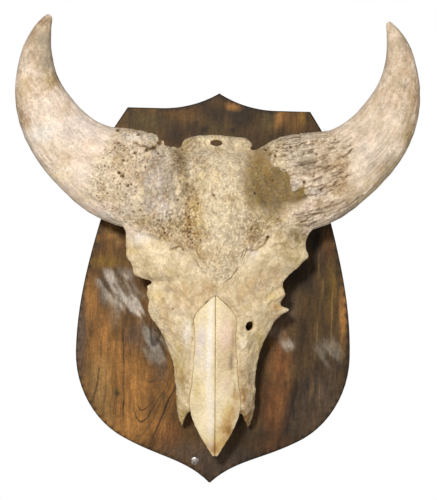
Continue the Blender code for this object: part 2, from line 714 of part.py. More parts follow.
def name_of(data):
    """The bone that an island of the parted skull is, from its middle, and its finish."""
    low = np.array([vert.co for vert in data.vertices]).min(axis=0)
    high = np.array([vert.co for vert in data.vertices]).max(axis=0)
    middle = (low + high) / 2
    side = "left" if middle[0] > SKULL_X + 10 * MM else "right"
    if high[2] > POLL_Z + 60 * MM:
        return f"horn_core_{side}", HORN_BONE
    if high[2] > POLL_Z - 10 * MM:
        return "cranium", BONE
    if low[2] < -150 * MM:
        return f"maxilla_{side}", BONE
    return f"lacrimal_{side}", BONE


def make_skull(collection, cutters):
    """The skull cap and horn cores, modelled whole and parted along the sutures."""
    whole = loft("skull", [core_ring(z) for z in core_heights()], cutters)
    hollows = [
        hollow("hollow", side, *place, cutters) for place in (SOCKET, TEMPLE) for side in (1, -1)
    ]
    combine(whole, hollows, "DIFFERENCE")
    horns = [make_horn("horn", side, cutters) for side in (1, -1)]
    combine(whole, horns, "UNION")
    cuts = [make_cavity(cutters), make_foramen(cutters)]
    cuts += [make_nasal("nasal_bed", side, cutters, grow=GAP) for side in (1, -1)]
    combine(whole, cuts, "DIFFERENCE")
    kerfs = [
        kerf("kerf", line, side, cutters)
        for line in (BURR_LINE, BROW_SUTURE, CHEEK_SUTURE)
        for side in (1, -1)
    ]
    combine(whole, kerfs, "DIFFERENCE")
    made = set()
    for data in islands(whole):
        name, finish_kind = name_of(data)
        if name not in made:
            made.add(name)
            finish(new_object(name, data, collection), finish_kind)
    bpy.data.objects.remove(whole)
    for name, side in (("nasal_left", 1), ("nasal_right", -1)):
        finish(make_nasal(name, side, collection), NASAL_BONE)


def main():
    """Builds the whole object."""
    clear_scene()
    collection = collection_named("buffalo_skull_on_plaque")
    cutters = collection_named("cutters", hidden=True)
    make_plaque(collection, cutters)
    make_skull(collection, cutters)
    make_crest(collection, cutters)
    make_fixings(collection, cutters)


main()
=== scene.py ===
"""Looks of a water buffalo skull on its shield plaque: bone, horn cores, wood, light and camera.

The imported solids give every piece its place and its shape. The bones are dressed as one surface, so
that crust, grooves and stains run on across their sutures, and are then parted along the sutures.

The tables are in millimetres, x to the right and z up from the frame's origin. Left and right are the
viewer's, except in the nodes' names and where a side is called the animal's.
"""

import itertools
import json
import math

import bmesh
import bpy
import numpy as np
from bpy.props import FloatProperty, FloatVectorProperty, PointerProperty
from mathutils import Matrix, Vector
from mathutils.kdtree import KDTree

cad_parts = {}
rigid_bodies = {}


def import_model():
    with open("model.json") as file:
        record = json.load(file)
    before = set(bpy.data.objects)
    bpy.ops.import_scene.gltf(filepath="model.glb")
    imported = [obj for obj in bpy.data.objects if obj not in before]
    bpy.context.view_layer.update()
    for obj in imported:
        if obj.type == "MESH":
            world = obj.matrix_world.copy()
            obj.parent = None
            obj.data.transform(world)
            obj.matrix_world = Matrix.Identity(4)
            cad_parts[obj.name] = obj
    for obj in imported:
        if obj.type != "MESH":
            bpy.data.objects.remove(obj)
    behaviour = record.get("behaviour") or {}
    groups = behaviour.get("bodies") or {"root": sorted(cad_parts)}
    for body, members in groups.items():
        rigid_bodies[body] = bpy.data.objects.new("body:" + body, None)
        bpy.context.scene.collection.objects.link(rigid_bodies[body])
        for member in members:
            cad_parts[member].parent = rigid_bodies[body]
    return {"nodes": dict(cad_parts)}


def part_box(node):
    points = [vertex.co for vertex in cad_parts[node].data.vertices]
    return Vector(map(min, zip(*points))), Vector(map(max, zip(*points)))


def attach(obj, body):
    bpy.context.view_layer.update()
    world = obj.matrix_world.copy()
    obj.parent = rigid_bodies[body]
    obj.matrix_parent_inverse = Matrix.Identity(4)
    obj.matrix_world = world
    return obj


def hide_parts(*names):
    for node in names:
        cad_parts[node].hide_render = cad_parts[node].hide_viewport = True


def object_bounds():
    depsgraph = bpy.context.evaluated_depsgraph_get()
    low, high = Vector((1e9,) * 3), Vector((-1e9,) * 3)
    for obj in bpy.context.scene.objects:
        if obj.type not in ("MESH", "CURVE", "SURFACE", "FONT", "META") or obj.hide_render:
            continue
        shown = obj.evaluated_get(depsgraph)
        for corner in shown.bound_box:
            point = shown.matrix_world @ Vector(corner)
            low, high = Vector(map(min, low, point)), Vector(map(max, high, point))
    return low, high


bl_info = {
    "name": "Buffalo Skull on a Plaque",
    "version": (1, 0, 0),
    "blender": (4, 5, 0),
    "location": "View3D > Sidebar > Skull",
    "description": "Dresses the packed skull, its horn cores and its plaque",
    "category": "Object",
}

MM = 0.001
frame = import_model()
CAD_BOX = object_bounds()
PLAQUE_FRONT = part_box("plaque")[0].y

# The skull's own middle line: where it starts at the poll, how far it leans, and the sawn back
POLL_Z = 178 * MM
SKULL_X = -2.2 * MM
SKULL_LEAN = math.tan(math.radians(1.2))
BACK_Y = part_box("cranium")[1].y

# The horn cores' middle line: where it starts, its heading there in degrees, how the heading turns
# with powers of the distance in millimetres, and the step that it is drawn in
HORN_ROOT = (97 * MM, 136 * MM)
HORN_AXIS_Y = -66 * MM
HORN_HEADING = 10.4
HORN_TURN = (0.257, 6.75e-4, -7.25e-7)
HORN_STEP = 2.0

# Distances along that line, and half the core's breadth there
HORN_STATIONS = (-66, 0, 41, 82, 123, 165, 206, 247, 270, 287)
HORN_BREADTHS = (38, 61.9, 58.7, 48.8, 42.1, 35.5, 25.7, 16.4, 10, 3)

# Sutures that part the bones, as (x, z) from the skull's middle line; the first three are mirrored
BURR_LINE = ((42, 214), (50, 192), (60, 177), (78, 160), (91, 146), (95, 128), (92, 106),
             (100, 93), (114, 83), (126, 77.5), (150, 62))
BROW_SUTURE = ((112, 6), (90, 9), (76, 3), (66, 6), (54, -5), (44, -3), (33, -17), (6, -30))
CHEEK_SUTURE = ((112, -24), (88, -22), (74, -29), (62, -25), (46, -34), (34, -31), (6, -40))
CREST_SEAM = ((-52, 198), (-49.5, 185), (-47.2, 178.15), (0, 178.15), (47.2, 178.15), (49.5, 185),
              (52, 198))
BONE_NODES = ("cranium", "occipital_crest", "lacrimal_left", "lacrimal_right", "maxilla_left",
              "maxilla_right", "horn_core_left", "horn_core_right")
FITTED_NODES = ("nasal_left", "nasal_right", "skull_screw_1", "skull_screw_2", "skull_screw_3")

# How far the cutters reach in front of the wall and behind it, and half the width of a suture's cut
CUT_FRONT, CUT_BACK = -0.2, 0.01
HALF_CUT = 0.06 * MM

# The distance between a suture's zigzag corners, how far inside the CAD box the dressed bones stay,
# and the fewest points that a parted bone can have
ZIGZAG_STEP = 2.2
BOX_MARGIN = 0.1 * MM
FEWEST_POINTS = 500

# Holes cut by an oval peg, in the animal's left cheek and through the crest: its middle (x, how far
# out of the sawn back, z), its half sizes (wide, high, deep) and its turn in degrees
FORAMEN = ((45.5, 55, -46), (4.6, 6.3, 50), -12)
CREST_HOLE = ((-2.2, 55, 186), (7.8, 4.1, 60), 0)

# The outline of the broken-out gap between the crest and the animal's right horn core. It is cut
# into the dressed bones only
GAP = ((-79, 206), (-77.5, 193), (-75.5, 187.5), (-74, 183), (-72.3, 188), (-69.5, 187), (-68, 181),
       (-64, 180.6), (-60, 178.8), (-56, 180.2), (-52, 178.7), (-49, 179.8), (-46.8, 181.5),
       (-45.2, 186), (-43.5, 190), (-40, 206))

# What stains leave of the light, and what dirt and painted shade leave of it, for each of red, green and
# blue
WARM_SHADE = (0.70, 0.58, 0.42)
DIRT_AND_SHADOW_TONE = (0.22, 0.14, 0.07)

# The outline of the rough crust over the forehead and the horn cores' roots
CRUST = ((-130, 250), (-130, 204), (-133, 192), (-139, 173), (-151, 160), (-158, 147), (-163, 132),
         (-157, 118), (-144, 105), (-130, 92), (-122, 80), (-114, 77), (-98, 71), (-82, 64),
         (-67, 58), (-50, 49), (-41, 46), (-32, 48), (-25, 39), (-19, 29), (-12, 19), (-1, 8),
         (14, 8), (20, 15), (26, 25), (31, 36), (36, 46), (41, 51), (50, 56), (60, 64), (67, 68),
         (75, 79), (88, 82), (106, 83), (124, 83), (138, 100), (154, 117), (165, 136), (169, 162),
         (166, 181), (155, 193), (137, 200), (137, 250))

# The outline of the smooth hollow between the forehead and the animal's left horn core
HOLLOW = (
    (50, 181), (60, 184), (68, 174), (64, 166), (71, 158), (83, 153), (91, 146), (92, 133),
    (95, 127), (105, 132), (111, 130), (113, 118), (103, 111), (92, 108), (83, 100), (70, 95),
    (58, 99), (46, 109), (40, 124), (38, 150), (42, 172))

# Broad swellings and hollows: middle (x, z), half wide, half high and height
SWELLS = (
    (74, 128, 24, 40, -3.5), (52, 168, 14, 18, -1.5), (-42, 140, 12, 44, -2.2), (-69, 189, 3, 4, 2.4),
    (3, 120, 24, 62, 2.0), (-34, -61, 9, 14, 1.4), (39, -68, 8, 13, 1.2), (-46, 16, 8, 7, -1.2),
    (-52, -2, 8, 5, -1.0), (61, 0, 8, 5, -1.2), (76, 20, 14, 10, -1.4), (-84, 46, 16, 9, 1.2),
    (-22, -2, 7, 8, -1.0), (-110, 150, 12, 16, -1.0), (-64, 108, 20, 14, 0.8), (-56, -18, 16, 7, 1.0),
)

# Ridges (raised) and grooves (sunk) that follow a line: corners (x, z), half width and height
CREASES = (
    (((-31, 169), (-29, 147), (-29, 125), (-25, 108)), 1.0, -0.7),
    (((-6, 127), (-5, 118), (-1, 113)), 1.2, -1.3), (((-7, 103), (0, 93), (7, 87)), 1.0, -0.9),
    (((-58, 49), (-51, 51), (-45, 53), (-40, 49)), 1.3, -2.4),
    (((-39, 48), (-32, 45), (-26, 39), (-21, 30)), 0.9, -0.9),
    (((66, 67), (65, 62), (59, 55), (51, 52), (46, 50)), 1.3, -2.2),
    (((36, 50), (33, 42), (31, 33), (27, 24), (21, 16), (13, 9)), 1.0, -1.8),
    (((41, 51), (36, 41), (33, 34)), 0.8, -1.0), (((70, 56), (79, 59), (90, 61)), 0.9, -0.9),
    (((2, 22), (1, 10), (-1, 2)), 0.9, -0.8),
    (((-26, -62), (-28, -75), (-34, -79), (-40, -73)), 1.0, -1.0),
    (((31, -62), (33, -70), (37, -77), (42, -76), (46, -70)), 1.8, -0.9),
    (((-76, -12), (-66, -42), (-52, -54), (-41, -63), (-29, -72)), 3.2, 1.2),
    (((60, -20), (73, -11), (88, -6)), 3.0, 1.8), (((58, -12), (70, -4), (80, 0)), 3.4, -1.2),
    (((-36, 174), (-34, 140), (-31, 110), (-25, 84), (-27, 58)), 5.0, -2.0),
    (((29, 174), (35, 150), (40, 128), (46, 104)), 6.0, -1.6),
    (((-98, 60), (-88, 50), (-80, 34)), 5.0, 1.4), (((-70, 20), (-62, 2), (-66, -16)), 6.0, -1.6),
    (((-50, 30), (-44, 4), (-40, -24)), 6.0, 1.2), (((56, 34), (60, 10), (52, -14)), 6.0, -1.0),
    (((40, 20), (44, -4), (38, -24)), 5.0, 1.0), (((-60, -60), (-56, -90), (-52, -120)), 5.0, 1.0),
    (((60, -60), (58, -90), (56, -120)), 5.0, -0.8),
    (((-106, 183), (-96, 179), (-86, 176), (-74, 181)), 1.6, -2.6),
    (((-120, 197), (-100, 193), (-84, 187), (-74, 187)), 2.6, 2.4),
    (((-66, 182), (-50, 176), (-44, 176)), 1.4, 1.4),
    (((107, 88), (127, 99), (144, 108), (163, 116)), 1.1, -1.2),
    (((122, 87), (144, 99), (167, 110), (186, 124)), 1.1, -1.0),
    (((96, 84), (118, 84), (136, 92)), 1.1, -1.1), (((138, 122), (156, 130), (172, 140)), 1.0, -0.6),
    (((27, -44), (26, -60), (25, -89), (31, -127), (35, -146)), 1.1, -0.9),
    (((-33, -52), (-30, -90), (-33, -130)), 0.8, -0.5), (((-5, -24), (-16, -36), (-29, -50)), 1.2, -1.0),
    (((38, -86), (46, -80), (52, -66)), 1.2, -0.7), (((-52, -44), (-46, -58), (-36, -66)), 1.0, -0.6),
    (((140, 180), (156, 188), (170, 196)), 1.2, -1.2), (((128, 170), (148, 178), (166, 186)), 1.0, -1.0),
)

# Nutrient holes and deep pits: middle (x, z), radius and depth
HOLES = (
    (66, 68, 1.8, 3.2), (44, 181, 2.0, 3.0), (-74, 185, 3.0, 3.4), (-80, 178, 2.4, 3.0),
    (-90, 174, 2.3, 3.0), (-105, 170, 1.8, 2.6), (-119, 160, 1.9, 2.6), (-124, 144, 1.9, 2.6),
    (-119, 140, 2.2, 2.8), (-101, 193, 1.7, 2.2), (-128, 199, 2.2, 2.6), (-75, 170, 1.5, 2.0),
    (-112, 128, 1.6, 2.2), (-122, 130, 1.2, 1.8), (-108, 130, 1.4, 2.0), (-91, 152, 1.0, 1.6),
    (-38, 107, 1.3, 1.6), (-64, 70, 1.5, 2.0), (-3, 118, 1.3, 1.6), (-23, 107, 1.2, 1.4),
    (60, 180, 1.5, 2.0), (72, 172, 1.8, 2.2), (110, 138, 2.2, 2.4), (69, 140, 1.1, 1.2),
    (49, 123, 1.5, 1.4), (78, 91, 1.2, 1.4), (-18, 62, 1.3, 1.6), (-49, 112, 1.2, 1.4),
    (92, 182, 1.3, 2.0), (125, 174, 1.2, 1.8), (122, 146, 1.3, 2.0), (131, 129, 1.2, 1.8),
    (-96, 98, 1.3, 1.8), (-138, 118, 1.2, 1.8), (-130, 176, 1.1, 1.6), (-142, 152, 1.1, 1.6),
    (-52, -26, 1.1, 1.2), (-34, 66, 1.4, 1.4), (-29, 58, 1.2, 1.4),
)


def smooth_step(low, high, value):
    """0 below low, 1 above high, and a smooth rise between them."""
    share = np.clip((value - low) / (high - low), 0, 1)
    return share * share * (3 - 2 * share)


def lattice(corner, seed):
    """A repeatable value from 0 to 1 for each whole-number corner."""
    mixed = corner[:, 0] * 73856093 ^ corner[:, 1] * 19349663 ^ corner[:, 2] * 83492791
    mixed = (mixed ^ (seed * 2654435761)) & 0xFFFFFFFF
    mixed = ((mixed ^ (mixed >> 15)) * 2246822519) & 0xFFFFFFFF
    mixed = ((mixed ^ (mixed >> 13)) * 3266489917) & 0xFFFFFFFF
    return (mixed ^ (mixed >> 16)) / 4294967295


def noise(points, size, seed, octaves=1):
    """Smooth noise from -1 to 1 that varies over about this length, finer with each octave."""
    total, reach, weight = np.zeros(len(points)), 0.0, 1.0
    for octave in range(octaves):
        at = points / size * 2**octave
        base = np.floor(at).astype(np.int64)
        part = at - base
        part = part * part * (3 - 2 * part)
        value = np.zeros(len(points))
        for corner in itertools.product((0, 1), repeat=3):
            share = np.prod(np.where(corner, part, 1 - part), axis=1)
            value += share * lattice(base + corner, seed + octave)
        total += weight * (2 * value - 1)
        reach += weight
        weight *= 0.5
    return total / reach


def cells(points, size, seed):
    """The distance to the nearest of scattered centres, in cell sizes."""
    at = points / size
    base = np.floor(at).astype(np.int64)
    nearest = np.full(len(points), np.inf)
    for corner in itertools.product((-1, 0, 1), repeat=3):
        cell = base + corner
        centre = cell + np.stack([lattice(cell, seed + axis) for axis in range(3)], axis=1)
        nearest = np.minimum(nearest, np.linalg.norm(at - centre, axis=1))
    return nearest


def line_distance(x, z, corners):
    """Distance in the face's plane from each point to a run of corners, in millimetres."""
    nearest = np.full(len(x), np.inf)
    for (x0, z0), (x1, z1) in zip(corners, corners[1:]):
        long = (x1 - x0) ** 2 + (z1 - z0) ** 2
        share = np.clip(((x - x0) * (x1 - x0) + (z - z0) * (z1 - z0)) / long, 0, 1)
        away = np.hypot(x - x0 - share * (x1 - x0), z - z0 - share * (z1 - z0))
        nearest = np.minimum(nearest, away)
    return nearest


def depth_inside(x, z, corners):
    """How far inside a closed outline each point lies, in millimetres; below 0 outside it."""
    ring = (*corners, corners[0])
    within = np.zeros(len(x), bool)
    for (x0, z0), (x1, z1) in zip(ring, ring[1:]):
        if z0 != z1:
            within ^= ((z0 > z) != (z1 > z)) & (x < x0 + (z - z0) * (x1 - x0) / (z1 - z0))
    away = line_distance(x, z, ring)
    return np.where(within, away, -away)


def blob(x, z, place, rough=0.0):
    """1 in the middle of an oval patch (x, z, half wide, half high), 0 outside it."""
    away = np.hypot((x - place[0]) / place[2], (z - place[1]) / place[3])
    return 1 - smooth_step(0.4, 1.2, away + rough)


def points_of(mesh):
    """The mesh's points as an array."""
    flat = np.empty(len(mesh.vertices) * 3)
    mesh.vertices.foreach_get("co", flat)
    return flat.reshape(-1, 3)


def normals_of(mesh):
    """The normals at the mesh's points as an array."""
    flat = np.empty(len(mesh.vertices) * 3, np.float32)
    mesh.vertices.foreach_get("normal", flat)
    return flat.reshape(-1, 3).astype(float)


def move_points(mesh, points):
    """Writes the points back to the mesh."""
    mesh.vertices.foreach_set("co", points.astype(np.float32).ravel())
    mesh.update()


def links_of(mesh):
    """The pairs of points that edges join."""
    links = np.empty(len(mesh.edges) * 2, np.int64)
    mesh.edges.foreach_get("vertices", links)
    return links.reshape(-1, 2)


def link_mean(points, links, count):
    """The mean of each point's neighbours."""
    total = np.empty_like(points)
    for axis in range(points.shape[1]):
        total[:, axis] = np.bincount(links[:, 0], points[links[:, 1], axis], len(points))
        total[:, axis] += np.bincount(links[:, 1], points[links[:, 0], axis], len(points))
    return total / count[:, None]


def relax(mesh, rounds, hold):
    """Smooths the facets away and keeps the edges that are sharp over this many metres."""
    links, points = links_of(mesh), points_of(mesh)
    count = np.bincount(links.ravel(), minlength=len(points)).astype(float)
    for _ in range(5):
        points += 0.5 * (link_mean(points, links, count) - points)
    bend = np.linalg.norm(link_mean(points, links, count) - points, axis=1)[:, None]
    for _ in range(3):
        bend = np.maximum(bend, link_mean(bend, links, count))
    ease = 0.5 * (1 - smooth_step(0.5 * hold, 1.6 * hold, bend))
    for _ in range(3):
        ease = link_mean(ease, links, count)
    for _ in range(rounds):
        points += ease * (link_mean(points, links, count) - points)
    move_points(mesh, points)


def paint(mesh, name, values):
    """Stores a value or a group of three for every point, for the materials to read."""
    kind, field = ("FLOAT_VECTOR", "vector") if values.ndim == 2 else ("FLOAT", "value")
    layer = mesh.attributes.get(name) or mesh.attributes.new(name, kind, "POINT")
    layer.data.foreach_set(field, values.astype(np.float32).ravel())


def painted(mesh, name):
    """What is stored for every point under a name, as columns."""
    layer = mesh.attributes[name]
    wide, field = (3, "vector") if layer.data_type == "FLOAT_VECTOR" else (1, "value")
    flat = np.empty(len(mesh.vertices) * wide, np.float32)
    layer.data.foreach_get(field, flat)
    return flat.reshape(-1, wide).astype(float)


def heal(mesh, names):
    """Gives the points that the cuts made the values of the points around them."""
    links, known = links_of(mesh), painted(mesh, "known")[:, 0] > 0.999
    values = np.concatenate([painted(mesh, name) for name in names], axis=1)
    for _ in range(8):
        near = known[links[:, ::-1]]
        count = np.bincount(links.ravel(), near.ravel(), len(known))
        fresh = ~known & (count > 0)
        for column in values.T:
            total = np.bincount(links.ravel(), (near * column[links[:, ::-1]]).ravel(), len(known))
            column[fresh] = total[fresh] / count[fresh]
        known |= fresh
    start = 0
    for name in names:
        wide = painted(mesh, name).shape[1]
        paint(mesh, name, values[:, start:start + wide] if wide > 1 else values[:, start])
        start += wide


def new_piece(name, data):
    """An object for the mesh, light or camera, in the scene."""
    obj = bpy.data.objects.new(name, data)
    bpy.context.scene.collection.objects.link(obj)
    return obj


def finished(mesh, name):
    """The edited mesh as mesh data, with its workspace freed."""
    data = bpy.data.meshes.new(name)
    mesh.to_mesh(data)
    mesh.free()
    return data


def coarser(spacing):
    return spacing * 1


def wander_edges(mesh):
    """Bends the outer edges of a nasal bone in and out a little, but not the edge at the middle."""
    long = [edge for edge in mesh.edges if edge.calc_length() > 3 * MM]
    bmesh.ops.subdivide_edges(mesh, edges=long, cuts=7)
    bmesh.ops.triangulate(mesh, faces=[face for face in mesh.faces if len(face.verts) > 4])
    points = np.array([vert.co for vert in mesh.verts])
    off = points[:, 0] - SKULL_X - SKULL_LEAN * (POLL_Z - points[:, 2])
    amount = smooth_step(3 * MM, 10 * MM, np.abs(off)) * 1.1 * MM
    broad, fine = noise(points * (0, 0, 1), 13 * MM, 91, 2), noise(points * (1, 0, 1), 4 * MM, 93)
    for vert, shift in zip(mesh.verts, amount * (broad + 0.3 * fine) * np.sign(off)):
        vert.co.x += shift


def node_copy(name, grow=0.0):
    """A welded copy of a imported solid's mesh, grown by a little along its normals."""
    mesh = bmesh.new()
    mesh.from_mesh(frame["nodes"][name].data)
    bmesh.ops.remove_doubles(mesh, verts=mesh.verts, dist=1e-6)
    mesh.normal_update()
    for vert in mesh.verts:
        vert.co += vert.normal * grow
    if name.startswith("nasal"):
        wander_edges(mesh)
    return finished(mesh, name)


def joined(name, parts):
    """One mesh that holds all the parts."""
    mesh = bmesh.new()
    for part in parts:
        mesh.from_mesh(part)
    return finished(mesh, name)


def applied(obj):
    """Replaces the object's mesh with what its modifiers make of it."""
    bpy.context.view_layer.update()
    graph = bpy.context.evaluated_depsgraph_get()
    data = bpy.data.meshes.new_from_object(obj.evaluated_get(graph))
    obj.modifiers.clear()
    obj.data = data
    return obj


def remeshed(name, mesh, size):
    """An even, closed mesh over the solids, with points this far apart."""
    obj = new_piece(name, mesh)
    modifier = obj.modifiers.new("even_mesh", "REMESH")
    modifier.mode = "VOXEL"
    modifier.voxel_size = size
    return applied(obj)


def cut(obj, cutter, operation="DIFFERENCE"):
    """Cuts the object with another closed mesh, which is then removed."""
    modifier = obj.modifiers.new("cut", "BOOLEAN")
    modifier.operation = operation
    modifier.solver = "MANIFOLD"
    modifier.object = cutter
    applied(obj)
    bpy.data.objects.remove(cutter)
    return obj


def loose_parts(obj):
    """The object's separate closed surfaces, each an object of its own."""
    before = set(bpy.data.objects)
    bpy.ops.object.select_all(action="DESELECT")
    obj.select_set(True)
    bpy.context.view_layer.objects.active = obj
    bpy.ops.mesh.separate(type="LOOSE")
    return [obj, *(set(bpy.data.objects) - before)]


def dress(obj, node, material, sharp=70):
    """Names the piece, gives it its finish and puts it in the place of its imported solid."""
    obj.name = f"{node}_dressed"
    obj.data.materials.clear()
    obj.data.materials.append(material)
    obj.data.shade_smooth()
    obj.data.set_sharp_from_angle(angle=math.radians(sharp))
    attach(obj, "root")
    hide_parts(node)


def horn_curve(side):
    """The middle line of a horn core as points and headings, with the distances along it."""
    along = np.arange(HORN_STATIONS[0], HORN_STATIONS[-1] + 1, HORN_STEP)
    run = np.maximum(along, 0)
    heading = np.radians(HORN_HEADING + sum(k * run**n for n, k in enumerate(HORN_TURN, 1)))
    x = np.concatenate([[0], np.cumsum(np.cos(heading[:-1]) * HORN_STEP)])
    z = np.concatenate([[0], np.cumsum(np.sin(heading[:-1]) * HORN_STEP)])
    root = int(-HORN_STATIONS[0] / HORN_STEP)
    x = HORN_ROOT[0] / MM + x - x[root]
    z = HORN_ROOT[1] / MM + z - z[root]
    line = np.stack([SKULL_X + side * x * MM, np.full(len(x), HORN_AXIS_Y), z * MM], axis=1)
    return along, line, heading


def horn_place(points, side):
    """How far along the horn core each point is, how far across it and out from its middle, and
    half the core's breadth there."""
    along, line, heading = horn_curve(side)
    nearest = np.full(len(points), np.inf)
    index = np.zeros(len(points), np.int64)
    for i, (x, _, z) in enumerate(line):
        away = np.hypot(points[:, 0] - x, points[:, 2] - z)
        closer = away < nearest
        nearest[closer], index[closer] = away[closer], i
    off = points - line[index]
    turn = heading[index]
    across = -np.sin(turn) * off[:, 0] * side + np.cos(turn) * off[:, 2]
    ahead = np.cos(turn) * off[:, 0] * side + np.sin(turn) * off[:, 2]
    s = along[index] * MM + ahead
    breadth = np.interp(along[index], HORN_STATIONS, HORN_BREADTHS) * MM
    return s, across, -off[:, 1], breadth


def horn_share(points):
    """0 on the skull, 1 out on the horn cores, with the length along the nearer horn and each
    point's place on that horn laid out straight from its root."""
    side = np.where(points[:, 0] > SKULL_X, 1, -1)
    share, s = np.zeros(len(points)), np.zeros(len(points))
    lay = np.zeros((len(points), 3))
    for which in (1, -1):
        mine = side == which
        s_here, across, out, breadth = horn_place(points[mine], which)
        inside = 1 - smooth_step(1.02, 1.2, np.abs(across) / breadth)
        s[mine] = s_here
        share[mine] = smooth_step(-14 * MM, 6 * MM, s_here) * inside
        lay[mine] = np.stack([which * (HORN_ROOT[0] + s_here), HORN_AXIS_Y - out,
                              HORN_ROOT[1] + across], axis=1)
    return share, s, lay


def filled(colour, count):
    """The same colour for every point."""
    return np.tile(np.array(colour), (count, 1))


def shaded(colour, share, shade):
    """The colours darkened by a share for each point, more in some hues than in others."""
    return colour * (1 - np.asarray(share)[:, None] * (1 - np.asarray(shade)))


def blended(colour, share, other):
    """The colours moved towards another one by a share for each point."""
    return colour + np.asarray(share)[:, None] * (np.asarray(other) - colour)


class BoneSurface:
    """The regions, the noises and the places along the horns of a set of bone points."""

    def __init__(self, points):
        self.points = points
        self.x, self.z = points[:, 0] / MM, points[:, 2] / MM
        self.coarse = noise(points, 22 * MM, 3, 3)
        self.rough = noise(points, 8 * MM, 5, 3)
        self.fine = noise(points, 2.6 * MM, 9, 2)
        self.horn, self.s, self.lay = horn_share(points)
        ragged = 3.0 * self.rough + 1.6 * self.fine
        self.broken = noise(points, 11 * MM, 17, 2)
        self.bend = (noise(points, 6.5 * MM, 15, 2), noise(points, 6.5 * MM, 16, 2))
        self.grain = cells(points, 2.6 * MM, 11)
        drawn_out = noise(self.lay * (0.2, 1, 1), 4 * MM, 13, 2)
        self.crust_depth = depth_inside(self.x, self.z, CRUST) + ragged
        self.crust_depth += self.horn * (9 * drawn_out + 6 * self.rough)
        crisp = smooth_step(60, 72, self.x + 3 * self.rough) * smooth_step(108, 122, self.z)
        hollow_depth = depth_inside(self.x, self.z, HOLLOW) + ragged * (2.4 - 1.2 * crisp)
        edge = 13 - 12.3 * crisp
        self.hollow = smooth_step(-1, 1, hollow_depth / edge)
        soft = 2.5 + 7 * self.horn + 9 * (1 - smooth_step(20, 60, self.z)) * (1 - self.horn)
        self.crust = smooth_step(-1, 1, self.crust_depth / soft) * (1 - 0.8 * self.hollow)
        self.ridge = blob(self.x, self.z, (6, 118, 20, 66), 0.5 * self.rough)

    def worms(self):
        """Winding grooves of the crust, drawn out lengthwise on the horn cores: 1 in a groove."""
        root = self.horn * (1 - smooth_step(0.4, 1, self.hollow))
        along = noise(self.lay * (0.3, 1, 1), 2.7 * MM, 21)
        breaks = smooth_step(-0.3, 0.2, noise(self.lay * (0.5, 1, 1), 5 * MM, 22))
        lengthwise = 0.6 * breaks * (1 - smooth_step(0.02, 0.34, np.abs(along)))
        dots = 1 - smooth_step(0.22, 0.42, cells(self.points, 3.4 * MM, 25))
        right = smooth_step(-10, 10, self.x)
        wavy = 1 - smooth_step(0.05, 0.3, np.abs(noise(self.points * (1, 1, 0.55), 2.9 * MM, 23, 2)))
        gaps = smooth_step(-0.2, 0.2, self.bend[0])
        plain = (1 - root) * wavy * (0.7 - 0.45 * self.ridge) * gaps
        return root * (right * lengthwise + (1 - right) * dots * gaps) + plain

    def crack(self, corners, width, faded):
        """How strongly a crack along the corners shows: it wanders, thins and fades in places."""
        near = np.abs(self.x - np.mean([x for x, _ in corners])) < 60
        share = np.zeros(len(near))
        x, z = self.x[near] + 2.2 * self.bend[0][near], self.z[near] + 2.2 * self.bend[1][near]
        away = line_distance(x, z, corners) / width
        share[near] = np.exp(-(away**2)) * (1 - faded * smooth_step(-0.2, 0.4, -self.broken[near]))
        return share


